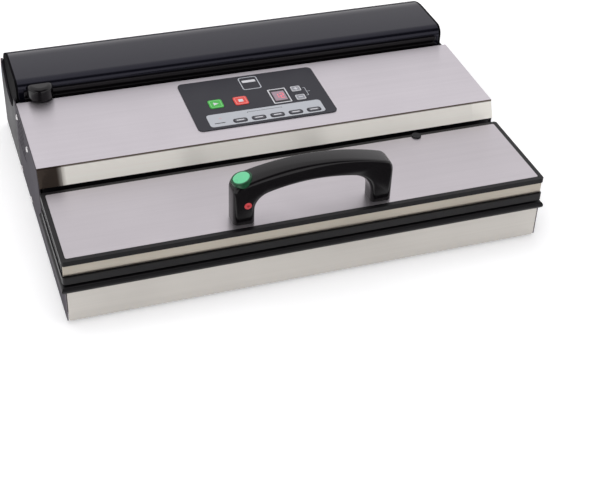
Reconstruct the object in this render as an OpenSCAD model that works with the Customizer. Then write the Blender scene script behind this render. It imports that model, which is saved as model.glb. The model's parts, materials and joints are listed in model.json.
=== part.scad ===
// Domestic vacuum sealer with a roll compartment, a film cutter and a hinged sealing lid.
// Front is -Y, up is +Z, and the feet stand on z = 0. Sizes are in millimetres.

/* [Body] */
// Width over the side panels
body_w = 492; // [470:1:560]
// Depth from the front panel to the back
body_d = 372; // [355:1:410]
// Height of the front panel
base_h = 33.7; // [32:0.1:45]
// Height of the feet
foot_h = 4; // [3:0.5:8]
// Diameter of a foot
foot_dia = 20; // [14:1:26]
// Thickness of the steel sheets
sheet_t = 1.2; // [0.8:0.1:1.5]
// Wall thickness of the mouldings
wall_t = 2.2; // [1.8:0.1:2.6]
// Seam between neighbouring covers
seam = 0.5; // [0.3:0.1:0.8]

/* [Deck] */
// Height of the bull-nose rim
rim_h = 7.8; // [7:0.1:11]
// How far the rim stands out of the panels
rim_over = 3; // [2:0.5:5]
// Gap under the closed lid where the film goes in
slit_h = 2; // [1.8:0.1:3]
// Length of the sealing bar, a little over the film's width
seal_l = 405; // [380:1:415]
// Width of the sealing bar
seal_w = 10; // [8:1:12]
// Distance of the sealing bar from the front panel
seal_in = 17; // [15:1:19]
// Distance of the front gasket run from the front panel
gasket_front = 34; // [32:1:36]
// Distance between the front and rear gasket runs
gasket_d = 56; // [52:1:58]
// Width of the gasket
gasket_w = 8; // [6:1:9]
// Depth of the vacuum channel below the deck
channel_depth = 15; // [10:1:17]

/* [Lid] */
// Depth of the lid from front to back
lid_d = 113.8; // [110:0.1:116]
// Height of the lid's lower rim
lid_rim_h = 7.9; // [7:0.1:10]
// Height of the steel trim on the lid's front
trim_h = 13.4; // [11:0.1:18]
// Height of the lid's top frame
lid_top_h = 5.3; // [4.5:0.1:8]
// Visible border of the black frame round the steel plate
lid_border = 5; // [4:0.5:8]

/* [Handle] */
// Width of the handle over its posts
handle_w = 162; // [150:1:185]
// Depth of the handle
handle_d = 22; // [21.5:0.5:28]
// Width of a handle post
post_w = 21.5; // [21:0.5:28]
// Height of the handle above the lid
handle_h = 56.7; // [52:0.1:65]
// Thickness of the arch at its crown
arch_t = 18.4; // [16:0.1:22]
// Crown radius of the arch
crown_r = 252; // [230:1:320]
// Rounding of the posts' upright edges
post_round = 5; // [3:0.5:7]
// Rounding of the arch's edges
arch_round = 3; // [2:0.5:4]
// Rounding of the arch's upper front edge, where the thumb lies
thumb_round = 10; // [4:0.5:11]
// Diameter of the start button
button_dia = 16.4; // [15:0.2:17]
// Travel of the start button
button_travel = 1.5; // [1:0.1:2]

/* [Housing] */
// Gap behind the lid
hinge_gap = 6.2; // [5.5:0.1:9]
// Height of the leaning fascia
fascia_h = 18.6; // [16:0.1:24]
// How far the fascia leans back
fascia_lean = 8.2; // [6:0.1:10]
// Depth of the top panel
panel_d = 121.8; // [118:0.1:125]
// Rise of the top panel from its front to its back
panel_rise = 3.1; // [2:0.1:5]

/* [Controls] */
// Width of the control overlay
overlay_w = 152; // [146:1:180]
// Height of the control overlay
overlay_h = 93.5; // [91:0.5:97]
// Thickness of the control overlay
overlay_t = 0.8; // [0.6:0.1:1]
// Distance of the overlay from the front of the top panel
overlay_in = 20; // [18:1:22]
// Travel of a membrane key
key_travel = 0.4; // [0.3:0.05:0.5]

/* [Roll compartment] */
// Gap for the cutter between top panel and cover
cutter_gap = 11; // [10:0.5:13]
// Height of the cover above the top panel
cover_rise = 16.7; // [15:0.1:22]
// Large radius at the back of the cover
cover_r = 55; // [45:1:58]
// Radius at the front of the cover
cover_front_r = 10; // [6:1:12]
// Wall thickness of the cover
cover_t = 2.2; // [1.8:0.1:2.6]
// Height from the cover's hinge to its top
cover_hinge_drop = 43.3; // [40:0.1:48]
// Depth of the tub below the top panel
tub_depth = 54; // [46:1:60]
// Width of the cutter knob
knob_w = 27; // [24:1:32]

/* [Rear] */
// Width of the mains inlet's socket
inlet_w = 24.4; // [23:0.1:25]
// Height of the mains inlet's socket
inlet_h = 16.6; // [15:0.1:17]
// Place of the mains inlet to the right of the middle
inlet_x = 165; // [140:1:190]
// Distance of the power switch from the mains inlet
switch_gap = 48; // [44:1:60]
// Width of the power switch's rocker
rocker_w = 12; // [10:0.5:14]
// Angle between the two places of the rocker
rocker_angle = 18; // [12:1:20]

/* [Clearances] */
// Clearance between pieces that move past each other
gap = 0.4; // [0.3:0.05:0.5]
// Radial running clearance of the hinge pins
run_gap = 0.05; // [0.02:0.01:0.1]

/* [Hidden] */
$fn = 48;
eps = 0.01;
cut = 1;                                    // extra length of a cutting tool past a face

// Heights of the layers, from the feet up
rim_z = foot_h + base_h;
deck_z = rim_z + rim_h;
lid_z = deck_z + slit_h;
trim_z = lid_z + lid_rim_h;
frame_z = trim_z + trim_h;
lid_top_z = frame_z + lid_top_h;
fascia_z = lid_top_z + 0.8;
panel_z = fascia_z + fascia_h;
panel_back_z = panel_z + panel_rise;
cover_top_z = panel_back_z + cover_rise;
cover_low_z = panel_back_z - 5.6;

// Places from front to back
front_y = (rim_over - body_d) / 2;
back_y = front_y + body_d;
lid_back_y = front_y + lid_d;
fascia_y = lid_back_y + hinge_gap;
panel_y = fascia_y + fascia_lean;
panel_back_y = panel_y + panel_d;
cover_y = panel_back_y + cutter_gap;
cap_y = cover_y + 6;                        // seam between side panel and end cap

// Half widths, from the outside in
half_w = body_w / 2;
rim_half = half_w + rim_over;
lid_half = half_w + 1;
cap_in = half_w - wall_t;                   // inner face of an end cap's plate
cover_half = cap_in - seam;
sheet_in = half_w - sheet_t;                // inner face of a side panel
flange_in = sheet_in - sheet_t - 0.1;       // inner face of the top housing's end flange
pan_half = flange_in - 0.3;

// Deck
deck_t = 5;
rim_w = 14;                                 // solid margin along the deck's edges
deck_back_y = fascia_y + 2;
seal_y = front_y + seal_in;
seal_groove = 3;
ring_groove = 2.5;
ring_y = front_y + gasket_front + gasket_d / 2;
ring_half = seal_l / 2 + 9;
channel_half = ring_half - gasket_w / 2 - 4;
channel_hd = gasket_d / 2 - gasket_w / 2 - 4;
channel_z = deck_z - channel_depth;
seal_top_z = deck_z + 0.6;
wire_t = 0.25;
tape_t = 0.25;
ring_top_z = deck_z + slit_h / 2 - gap / 2;
ring_low_z = deck_z + slit_h / 2 + gap / 2;
nozzle_x = -seal_l / 2 + 60;
nozzle_r = 5;

// Lid
lid_wall = 2.6;
under_z = lid_z + 0.8;
under_t = 5.2;
lid_in_half = lid_half - lid_wall - 1.4;
lid_in_front = front_y + 6.4;
lid_in_back = lid_back_y - lid_wall;
lid_roof_z = lid_top_z - 3;                 // underside of the lid's roof
plate_t = 1;
plate_front = front_y + lid_border;
plate_back = lid_back_y - lid_border + 0.8;
plate_half = lid_half - lid_border;
hinge_in = 8.8;                             // hinge axis to the lid's rear face
hinge_r = 2;
hinge_y = lid_back_y - hinge_in;
hinge_z = lid_top_z - 9.1;
hinge_eye = 5;
bracket_w = 6;
bracket_x = seal_l / 2 - 4;
bracket_gap = 2;                            // free space on each side of a bracket
rib_t = 2.5;
pin_l = bracket_w + 2 * (bracket_gap + rib_t) + 2;

// Handle: it stands a little to the right of the middle
handle_x = 0.8;
post_x = handle_w / 2 - post_w / 2;         // from the handle's middle
handle_front = front_y + 9.5;
handle_mid = handle_front + handle_d / 2;
handle_top = lid_top_z + handle_h;
crown_z = handle_top - crown_r;             // centre of the crown's arc
shoulder_r = 12;
grip_r = 0.83 * crown_r;                    // the opening's own crown
grip_turns = [20, 26];
grip_shift = 5;
button_out = handle_w / 2 - 10.4;           // from the handle's middle
button_x = handle_x - button_out;
button_tilt = asin(button_out / crown_r);
button_z = crown_z + crown_r * cos(button_tilt);
button_r = button_dia / 2;
bezel_r = button_r + 2.2;
lamp_r = 3.6;
lamp_x = button_x + 3.6;
lamp_deep = 5.5;
grommet_x = 151;
grommet_r = 5;
grommet_stem = grommet_r - 1.6;
grommet_y = plate_back - 0.5;
lamp_z = lid_top_z + 0.37 * handle_h;

// Control panel, measured along the top panel from its front edge
slope = atan(panel_rise / panel_d);
overlay_mid = overlay_in + overlay_h / 2;
window_h = 58;
window_v = overlay_in + 32.5;
green_key = [-45.5, 66];
red_key = [-18, 65.7];
start_key_size = [15, 15.5];
plus_key = [46.2, 73.5];
minus_key = [46.2, 56.3];
step_key_size = [10.5, 9.5];
mode_v = 30;
mode_x = [-29, -8.7, 11.6, 31.9, 52.2];
mode_size = [14, 6.4];
window_w = 2 * (mode_x[4] + mode_size[0] / 2 + 5.8);
display_at = [25.2, 65];
display_size = [20.5, 28.5];
board_drop = 7;                             // key board below the top panel's surface

// Roll cover
round_y = back_y - cover_r;
round_z = cover_top_z - cover_r;
bead_r = 4;
cover_pin_r = 1.5;
cover_pin_l = 16;
cover_hinge_z = cover_top_z - cover_hinge_drop;
cover_hinge_y = round_y - bead_r + sqrt(pow(cover_r, 2) - pow(cover_hinge_z - round_z, 2));
lobe_y = (cover_y + cover_hinge_y) / 2;
lobe_gap = 6.9;                             // between the cover's front and the end's rounded lobe
lobe_r = lobe_y - cover_y - lobe_gap;
lobe_z = cover_hinge_z - 6 + lobe_r;
tub_half = cover_half - cover_t - 3;
tub_front = cover_y + cover_t + 0.8;
tub_back = cover_hinge_y - bead_r - 2.6;
tub_z = panel_back_z - tub_depth;
tub_r = 24;
shelf_z = cover_low_z - gap - 2;            // underside of the film shelf

// Cutter
rail_t = 4;
rail_h = 12;
rail_y = cover_y - rail_t;
rail_z = cover_low_z + 1;
rail_half = cover_half - 8;
slot_z = rail_z + rail_h / 2;
slot_neck = 2.6;
slot_head = 4.6;
knob_r = knob_w / 2;
knob_rest = -(rail_half - knob_r - 3);
knob_travel = -2 * knob_rest;
knob_z = panel_back_z + 1.6;
knob_h = 14.5;

// Rear
rear_inset = 2.2;
rear_half = half_w - 14;
rear_top_z = cover_hinge_z - bead_r - 1;
rear_y = back_y - rear_inset;
inlet_z = foot_h + 26;
switch_x = inlet_x - switch_gap;
rocker_h = 21;
rocker_r = 9;                               // rocker's hinge behind its face

// Fasteners
screw_r = 3.3;
screw_head = 1.6;
screw_shank = 1.9;
side_screws = [[cap_y - 14, panel_z - 15], [fascia_y + 67, panel_z - 14],
               [cap_y - 6, foot_h + 4.5], [fascia_y + 79, foot_h + 5]];
handle_screw_at = [for (x = [-1, 1]) for (y = [-0.26, 0.26])
    [handle_x + x * post_x, handle_mid + y * handle_d]];
pan_t = 2.5;
boss_r = 5;
boss_h = 14;
bosses = [for (x = [-0.72, 0, 0.72]) for (y = [front_y + 30, panel_back_y + 12]) [x * half_w, y]];
foot_in = foot_dia + 8;                     // from the front and the back to a foot's middle
feet_at = [for (x = [-1, 1]) for (y = [front_y + foot_in, back_y - foot_in])
    [x * (half_w - foot_in - 4), y]];

// ---- Helpers ----

// Extrudes a side outline, drawn as (y, z), across the width w about x = 0
module along_x(w) {
    rotate([90, 0, 90]) translate([0, 0, -w / 2]) linear_extrude(w) children();
}

// Extrudes a front outline, drawn as (x, z), from y = 0 backwards by d
module along_y(d) {
    translate([0, d, 0]) rotate([90, 0, 0]) linear_extrude(d) children();
}

// A box from its lowest to its highest corner
module box(low, high) {
    translate(low) cube(high - low);
}

// A rectangle with round corners, centred on the origin
module round_rect(w, d, r) {
    square([w - 2 * r, d], center = true);
    square([w, d - 2 * r], center = true);
    for (x = [-1, 1]) for (y = [-1, 1]) translate([x * (w / 2 - r), y * (d / 2 - r)]) circle(r);
}

// A plate with round corners between two heights, centred on (x, y)
module plate(at, w, d, r, z0, z1) {
    translate([at[0], at[1], z0]) linear_extrude(z1 - z0) round_rect(w, d, r);
}

// A flat ring: the outer plate less the same plate made smaller by t all round
module ring(at, w, d, r, t, z0, z1) {
    difference() {
        plate(at, w, d, r, z0, z1);
        plate(at, w - 2 * t, d - 2 * t, r - t, z0 - cut, z1 + cut);
    }
}

// A cylinder along X between two places
module rod_x(x0, x1, y, z, r) {
    translate([x0, y, z]) rotate([0, 90, 0]) cylinder(h = x1 - x0, r = r);
}

// Both sides of the machine
module both_sides() {
    children();
    mirror([1, 0, 0]) children();
}

// Puts a piece on the top panel: x across, y along the panel from its front edge, z off it
module on_panel() {
    translate([0, panel_y, panel_z]) rotate([slope, 0, 0]) children();
}

// Puts a piece at the start button, its own z axis along the button's travel
module at_button() {
    translate([button_x, handle_mid, button_z]) rotate([0, -button_tilt, 0]) children();
}

// ---- Outlines ----

// Side outline of the back of the machine, made smaller by inset all round
module rear_outline(inset) {
    low = foot_h + inset;
    top = cover_top_z - inset;
    corner_y = cover_y + cover_front_r;
    translate([corner_y, low]) square([round_y - corner_y, top - low]);
    translate([cover_y + inset, low])
        square([round_y - cover_y - inset, cover_top_z - cover_front_r - low]);
    translate([corner_y, cover_top_z - cover_front_r]) circle(cover_front_r - inset);
    translate([round_y - eps, low]) square([cover_r - inset + eps, round_z - low]);
    intersection() {
        translate([round_y, round_z]) circle(cover_r - inset, $fn = 120);
        translate([round_y - eps, round_z]) square([cover_r, cover_r]);
    }
}

// Rounded lower edge of the cover's end, grown by grow
module lobe(grow) {
    translate([lobe_y, lobe_z]) circle(lobe_r + grow, $fn = 96);
}

// The part of the rear outline that belongs to the cover
module cover_zone(grow) {
    low = cover_low_z - grow;
    translate([cover_y - cut, low]) square([body_d, cover_r]);
    translate([lobe_y, cover_hinge_z]) square([body_d, cover_r]);
    lobe(grow);
}

// Side outline of the top housing's outer surface, lowered by drop
module housing_outline(drop) {
    polygon([[fascia_y + drop, fascia_z], [panel_y + drop * 0.6, panel_z - drop],
             [panel_back_y - drop, panel_back_z - drop], [panel_back_y - drop, fascia_z]]);
}

// Steps along a post, a shoulder and the crown of the handle, and along a section's corner
post_n = 3;
turn_n = 9;
crown_n = 24;
corner_n = 5;

// Front outline of an arch from its left foot to its right, as (x, z): post, shoulder, crown,
// shoulder, post. The crown's centre lies at shift, and turns are its left and right shoulders' radii.
function arch_line(half, top, crown, turns, shift) = let(
        centre = top - crown, low = lid_top_z, r_l = turns[0], r_r = turns[1],
        lean_l = asin((half - r_l + shift) / (crown - r_l)),
        lean_r = asin((half - r_r - shift) / (crown - r_r)),
        z_l = centre + (crown - r_l) * cos(lean_l), z_r = centre + (crown - r_r) * cos(lean_r))
    concat([for (i = [0:post_n]) [-half, low + (z_l - low) * i / post_n]],
           [for (i = [1:turn_n]) let(a = 180 - (90 - lean_l) * i / turn_n)
               [r_l - half + r_l * cos(a), z_l + r_l * sin(a)]],
           [for (i = [1:crown_n]) let(a = 90 + lean_l - (lean_l + lean_r) * i / crown_n)
               [shift + crown * cos(a), centre + crown * sin(a)]],
           [for (i = [1:turn_n]) let(a = (90 - lean_r) * (1 - i / turn_n))
               [half - r_r + r_r * cos(a), z_r + r_r * sin(a)]],
           [for (i = [1:post_n]) [half, z_r - (z_r - low) * i / post_n]]);

// Rectangle t by d as points, with a radius for its upper front corner and one for the others
function section(t, d, round, front) = [for (k = [0:3]) for (i = [0:corner_n])
    let(a = 90 * k + 90 * i / corner_n, sx = k == 0 || k == 3 ? 1 : -1, sy = k < 2 ? 1 : -1,
        r = k == 3 ? front : round)
    [sx * (t / 2 - r) + r * cos(a), sy * (d / 2 - r) + r * sin(a)]];

// Solid through one section at each pair of points of an outer and an inner line
module loft(outer, inner, depth, rounds, fronts) {
    n = len(outer);
    m = 4 * (corner_n + 1);
    points = [for (i = [0:n - 1])
        let(across = outer[i] - inner[i], t = norm(across), e = across / t,
            middle = (outer[i] + inner[i]) / 2)
        for (p = section(t, depth, rounds[i], fronts[i]))
            [middle[0] + e[0] * p[0], p[1], middle[1] + e[1] * p[0]]];
    skin = [for (i = [0:n - 2]) for (k = [0:m - 1])
        let(a = i * m + k, b = i * m + (k + 1) % m) each [[a, b, b + m], [a, b + m, a + m]]];
    ends = [[for (k = [m - 1:-1:0]) k], [for (k = [0:m - 1]) (n - 1) * m + k]];
    polyhedron(points, concat(skin, ends), convexity = 6);
}

// ---- Base ----

module bottom_pan() {
    wall_z = foot_h + pan_t + 10;
    pan_front = front_y + wall_t + 1;
    pan_back = rear_y - wall_t;
    at = [0, (pan_front + pan_back) / 2];
    color("#232126") difference() {
        union() {
            ring(at, 2 * pan_half, pan_back - pan_front, 4, wall_t, foot_h, wall_z);
            plate(at, 2 * pan_half, pan_back - pan_front, 4, foot_h, foot_h + pan_t);
            for (p = bosses) translate([p[0], p[1], foot_h]) cylinder(h = pan_t + boss_h, r = boss_r);
        }
        for (p = bosses) translate([p[0], p[1], foot_h - cut])
            cylinder(h = cut + pan_t + boss_h - 2, r = screw_shank);
        for (p = bosses) translate([p[0], p[1], foot_h - cut])
            cylinder(h = cut + screw_head + 0.4, r = screw_r + 0.2);
        for (p = feet_at) translate([p[0], p[1], foot_h - cut]) cylinder(h = pan_t + 2 * cut, r = 3);
        both_sides() for (p = side_screws) if (p[1] < wall_z)
            rod_x(pan_half - 2 * wall_t, half_w, p[0], p[1], screw_shank);
        for (i = [-5:5]) box([i * 7 - 1.5, back_y - 190, foot_h - cut],
                             [i * 7 + 1.5, back_y - 150, foot_h + pan_t + cut]);
    }
}

module front_panel() {
    panel_half = sheet_in - seam;
    color("#cbc8c1") {
        translate([0, front_y, 0]) along_y(sheet_t)
            translate([0, foot_h + base_h / 2]) round_rect(2 * panel_half, base_h, 2);
        box([-panel_half, front_y + eps, foot_h + 2], [-panel_half + sheet_t, front_y + 1.8, rim_z - 2]);
        box([panel_half - sheet_t, front_y + eps, foot_h + 2], [panel_half, front_y + 1.8, rim_z - 2]);
        box([-panel_half + 2, front_y + eps, foot_h],
            [panel_half - 2, front_y + wall_t, foot_h + sheet_t - eps]);
    }
}

// L-shaped sheet at one side, with its vent slots and screw holes
module side_panel() {
    vent_y = fascia_y + 112;
    drop = sheet_t + 0.1;                   // below the top housing's surface
    step_y = deck_back_y + seam;
    low = cover_low_z - gap;
    rise = (step_y - fascia_y - drop) * (panel_z - drop - fascia_z) / (panel_y - fascia_y - 0.4 * drop);
    color("#8f8b8e") translate([sheet_in, 0, 0]) rotate([90, 0, 90]) linear_extrude(sheet_t)
        difference() {
            polygon([[front_y + 0.8, foot_h], [front_y + 0.8, foot_h + base_h],
                [step_y, foot_h + base_h], [step_y, fascia_z + rise],
                [panel_y + drop * 0.6, panel_z - drop], [panel_back_y - drop, panel_back_z - drop],
                [panel_back_y - drop, low], [cap_y - seam, low], [cap_y - seam, foot_h]]);
            for (p = side_screws) translate([p[0], p[1]]) circle(screw_shank + 0.1);
            for (i = [0:4]) translate([vent_y, foot_h + 46 + i * 8.6]) round_rect(46, 3.6, 1.7);
        }
}

module end_cap() {
    tab_y = rear_y - wall_t;
    color("#6d696e") {
        // Lip that reaches behind the side panel
        difference() {
            box([cap_in - 1, cap_y - 18, foot_h + 16], [sheet_in, cap_y + 4, cover_low_z - 7]);
            rod_x(cap_in - 2, half_w, side_screws[0][0], side_screws[0][1], screw_shank);
            translate([cap_in - 2, 0, 0]) rotate([90, 0, 90]) linear_extrude(wall_t + 2) lobe(seam);
        }
        // Tab that reaches behind the rear panel
        box([rear_half - 6, tab_y - 1.6, inlet_z - 8], [rear_half + 4, tab_y, inlet_z + 22]);
        box([rear_half + seam, tab_y - eps, inlet_z - 8],
            [rear_half + 4, back_y - wall_t + eps, inlet_z + 22]);
        translate([cap_in, 0, 0]) rotate([90, 0, 90]) linear_extrude(wall_t) difference() {
            intersection() {
                rear_outline(0);
                translate([cap_y, foot_h]) square([body_d, cover_low_z - seam - foot_h]);
            }
            lobe(seam);
            translate([cover_hinge_y, cover_hinge_z]) circle(cover_pin_r);
        }
        // Rim that turns round the back
        translate([rear_half + seam, 0, 0]) rotate([90, 0, 90])
            linear_extrude(cap_in - rear_half - seam + eps) intersection() {
                difference() {
                    rear_outline(0);
                    rear_outline(wall_t);
                }
                translate([back_y - cover_r, foot_h + wall_t])
                    square([body_d, rear_top_z - foot_h - wall_t]);
            }
    }
}

// One bent sheet: leaning fascia, top panel, rear flange, and a flange at each end
module top_housing() {
    color("#c4bfc3") difference() {
        union() {
            along_x(body_w - 1) difference() {
                housing_outline(0);
                housing_outline(sheet_t);
            }
            both_sides() translate([flange_in, 0, 0]) rotate([90, 0, 90]) linear_extrude(sheet_t)
                intersection() {
                    housing_outline(sheet_t - eps);
                    translate([panel_y + 4, panel_z - 24]) square([panel_d - 8, 40]);
                }
        }
        // The rear flange stands on the film shelf
        box([-half_w, panel_back_y - 4, fascia_z - cut],
            [half_w, panel_back_y + cut, cover_low_z - gap]);
        on_panel() translate([0, window_v, -10]) linear_extrude(20) round_rect(window_w, window_h, 3);
        for (p = side_screws) if (p[1] > rim_z + base_h) rod_x(-half_w, half_w, p[0], p[1], screw_shank);
    }
}

module rear_panel() {
    color("#232126") difference() {
        along_x(2 * rear_half) intersection() {
            difference() {
                rear_outline(rear_inset);
                rear_outline(rear_inset + wall_t);
            }
            translate([back_y - cover_r, foot_h + rear_inset + wall_t])
                square([body_d, rear_top_z - foot_h - rear_inset - wall_t]);
        }
        box([inlet_x - inlet_w / 2 - 1.6, rear_y - 10, inlet_z - inlet_h / 2 - 1.6],
            [inlet_x + inlet_w / 2 + 1.6, back_y + cut, inlet_z + inlet_h / 2 + 1.6]);
        box([switch_x - rocker_w / 2 - 1.6, rear_y - 10, inlet_z - rocker_h / 2 - 1.6],
            [switch_x + rocker_w / 2 + 1.6, back_y + cut, inlet_z + rocker_h / 2 + 1.6]);
        for (i = [0:11]) translate([-190 + i * 9, rear_y - 6, foot_h + 30]) along_y(12)
            round_rect(4, 26, 1.9);
    }
}

// Black deck: bull-nose rim, skin, vacuum channel and the wall behind the lid
module deck() {
    nose = rim_h / 2;
    mid_z = rim_z + nose;
    skin_z = deck_z - deck_t;
    color("#1e1a1f") difference() {
        union() {
            intersection() {
                along_x(2 * rim_half) {
                    translate([front_y - rim_over + nose, mid_z]) circle(nose);
                    translate([front_y - rim_over + nose, rim_z])
                        square([deck_back_y - front_y + rim_over - nose, rim_h]);
                }
                translate([0, front_y - rim_over, 0]) along_y(deck_back_y - front_y + rim_over) {
                    for (x = [-1, 1]) translate([x * (rim_half - nose), mid_z]) circle(nose);
                    translate([-rim_half + nose, rim_z]) square([2 * (rim_half - nose), rim_h]);
                }
            }
            // Walls and floor of the vacuum channel
            plate([0, ring_y], 2 * (channel_half + wall_t), 2 * (channel_hd + wall_t), 6 + wall_t,
                  channel_z - wall_t, deck_z - 1);
            // Wall behind the lid
            box([-pan_half + 1, fascia_y + 1.8, skin_z],
                [pan_half - 1, fascia_y + 1.8 + wall_t, fascia_z + 0.8]);
        }
        // Hollow underside, round the channel
        difference() {
            box([-half_w + rim_w, front_y + rim_w, rim_z - cut],
                [half_w - rim_w, deck_back_y - 6, skin_z]);
            plate([0, ring_y], 2 * (channel_half + wall_t), 2 * (channel_hd + wall_t), 6 + wall_t,
                  rim_z - 2 * cut, deck_z);
        }
        plate([0, ring_y], 2 * channel_half, 2 * channel_hd, 6, channel_z, deck_z + cut);
        ring([0, ring_y], 2 * ring_half + gasket_w, gasket_d + gasket_w, 12, gasket_w,
             deck_z - ring_groove, deck_z + cut);
        box([-seal_l / 2, seal_y - seal_w / 2, deck_z - seal_groove],
            [seal_l / 2, seal_y + seal_w / 2, deck_z + cut]);
        translate([nozzle_x, ring_y, channel_z - wall_t - cut]) cylinder(h = wall_t + 2 * cut, r = nozzle_r);
    }
}

module suction_nozzle() {
    elbow = 12;
    color("#3a3a40") {
        difference() {
            union() {
                translate([nozzle_x, ring_y, channel_z - wall_t - 2]) cylinder(h = wall_t + 9, r = nozzle_r);
                translate([nozzle_x, ring_y, channel_z]) cylinder(h = 2, r = nozzle_r + 3);
            }
            translate([nozzle_x, ring_y, channel_z - 20]) cylinder(h = 40, r = nozzle_r - 2);
        }
        translate([nozzle_x, ring_y + elbow, channel_z - wall_t - 2]) rotate([0, -90, 0])
            rotate([0, 0, 180]) rotate_extrude(angle = 90) translate([elbow, 0]) difference() {
                circle(nozzle_r - 0.6);
                circle(nozzle_r - 2);
            }
    }
}

module lower_gasket() {
    color("#2b282c") ring([0, ring_y], 2 * ring_half + gasket_w, gasket_d + gasket_w, 12, gasket_w,
                          deck_z - ring_groove, ring_top_z);
}

module sealing_bar() {
    half = seal_w / 2;
    low = deck_z - seal_groove;
    color("#8d8a88") along_x(seal_l) polygon([[seal_y - half, low], [seal_y + half, low],
        [seal_y + half, deck_z], [seal_y + half - 2, seal_top_z], [seal_y - half + 2, seal_top_z],
        [seal_y - half, deck_z]]);
}

module heating_wire() {
    wire_half = seal_l / 2 - 3;
    color("#b9a878") box([-wire_half, seal_y - 1.5, seal_top_z],
                         [wire_half, seal_y + 1.5, seal_top_z + wire_t]);
}

module ptfe_tape() {
    color("#a58a5c") box([-seal_l / 2, seal_y - 3, seal_top_z + wire_t],
                         [seal_l / 2, seal_y + 3, seal_top_z + wire_t + tape_t]);
}

module feet() {
    color("#2a2a2c") for (p = feet_at) translate([p[0], p[1], 0]) {
        rotate_extrude() polygon([[0, 0], [foot_dia / 2 - 1.5, 0], [foot_dia / 2, foot_h - 0.5],
            [foot_dia / 2, foot_h], [3, foot_h], [3, foot_h + pan_t], [4.4, foot_h + pan_t],
            [2.4, foot_h + pan_t + 2.5], [0, foot_h + pan_t + 2.5]]);
    }
}

// ---- Works inside the housing ----

floor_z = foot_h + pan_t;
motor_y = fascia_y + 60;
motor_z = floor_z + 32;
motor_r = 19;
pump_x = -60;
board_x = half_w - 56;
transformer_x = board_x - 78;
hose_z = channel_z - wall_t - 14;

module pump_motor() {
    color("#a7a5a3") {
        rod_x(pump_x - 82, pump_x - 20, motor_y, motor_z, motor_r);
        rod_x(pump_x - 88, pump_x - 82 + eps, motor_y, motor_z, 7);
        box([pump_x - 76, motor_y - 16, floor_z], [pump_x - 26, motor_y + 16, motor_z - motor_r + 4]);
    }
}

module pump_head() {
    color("#4a4c52") difference() {
        union() {
            box([pump_x - 20 + eps, motor_y - 24, floor_z], [pump_x + 22, motor_y + 24, motor_z + 16]);
            for (y = [-12, 12]) translate([pump_x + 1, motor_y + y, motor_z + 16 - eps])
                cylinder(h = 10, r = 9);
            translate([pump_x + 1, motor_y - 24, hose_z]) rotate([90, 0, 0]) cylinder(h = 9, r = 3.4);
        }
        translate([pump_x + 1, motor_y - 20, hose_z]) rotate([90, 0, 0]) cylinder(h = 20, r = 2);
    }
}

// Tube from the channel's nozzle to the pump head: back, across, and back again
module suction_hose() {
    tube_r = nozzle_r - 0.6;
    bend = 12;
    start_y = ring_y + bend;
    cross_y = (start_y + motor_y - 33) / 2 + 4;
    end_x = pump_x + 1;
    module tube(l) {
        difference() {
            cylinder(h = l, r = tube_r);
            translate([0, 0, -cut]) cylinder(h = l + 2 * cut, r = tube_r - 1.4);
        }
    }
    module quarter() {
        rotate_extrude(angle = 90) translate([bend, 0]) difference() {
            circle(tube_r);
            circle(tube_r - 1.4);
        }
    }
    color("#d8d4c8") {
        translate([nozzle_x, start_y, hose_z]) rotate([-90, 0, 0]) tube(cross_y - start_y - bend);
        translate([nozzle_x + bend, cross_y - bend, hose_z]) rotate([0, 0, 90]) quarter();
        translate([nozzle_x + bend, cross_y, hose_z]) rotate([0, 90, 0])
            tube(end_x - nozzle_x - 2 * bend);
        translate([end_x - bend, cross_y + bend, hose_z]) rotate([0, 0, -90]) quarter();
        translate([end_x, cross_y + bend, hose_z]) rotate([-90, 0, 0])
            tube(motor_y - 33 - cross_y - bend);
    }
}

module release_valve() {
    x = pump_x + 52;
    color("#5b6470") {
        box([x, motor_y - 14, floor_z], [x + 22, motor_y + 14, floor_z + 26]);
        translate([x + 11, motor_y, floor_z + 26 - eps]) cylinder(h = 14, r = 6);
        translate([x + 11, motor_y - 14, floor_z + 13]) rotate([90, 0, 0]) cylinder(h = 10, r = 3);
    }
}

module pressure_switch() {
    x = pump_x + 63;
    y = motor_y + 42;
    color("#d9d5cc") {
        translate([x, y, floor_z]) cylinder(h = 18, r = 14);
        translate([x, y, floor_z + 18 - eps]) cylinder(h = 8, r = 3);
        box([x - 20, y - 4, floor_z], [x + 20, y + 4, floor_z + 3]);
    }
}

// Laminated core round a wound bobbin
module transformer() {
    x = transformer_x;
    y = motor_y;
    color("#7a6a58") {
        difference() {
            box([x - 33, y - 28, floor_z], [x + 33, y + 28, floor_z + 56]);
            for (s = [-1, 1]) box([x + s * 17 - 6, y - 28 - cut, floor_z + 12],
                                  [x + s * 17 + 6, y + 28 + cut, floor_z + 44]);
        }
        box([x - 23, y - 36, floor_z + 12], [x + 23, y - 28 + eps, floor_z + 44]);
        box([x - 23, y + 28 - eps, floor_z + 12], [x + 23, y + 36, floor_z + 44]);
    }
}

module control_board() {
    x = board_x;
    board_z = floor_z + 10;
    color("#2f6b46") {
        difference() {
            box([x - 34, motor_y - 46, board_z], [x + 34, motor_y + 46, board_z + 1.6]);
            for (sx = [-1, 1]) for (sy = [-1, 1]) translate([x + sx * 29, motor_y + sy * 41, board_z - cut])
                cylinder(h = 4, r = 1.7);
        }
        for (sx = [-1, 1]) for (sy = [-1, 1]) translate([x + sx * 29, motor_y + sy * 41, floor_z])
            cylinder(h = 10 + eps, r = 3.2);
        for (i = [0:2]) box([x - 26, motor_y - 34 + i * 22, board_z + 1.6 - eps],
                            [x - 7, motor_y - 18 + i * 22, board_z + 17]);
        for (i = [0:1]) translate([x + 14, motor_y - 20 + i * 26, board_z + 1.6 - eps])
            cylinder(h = 22, r = 8);
        box([x + 4, motor_y + 22, board_z + 1.6 - eps], [x + 26, motor_y + 28, board_z + 12]);
    }
}

// ---- Controls on the top panel ----

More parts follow.
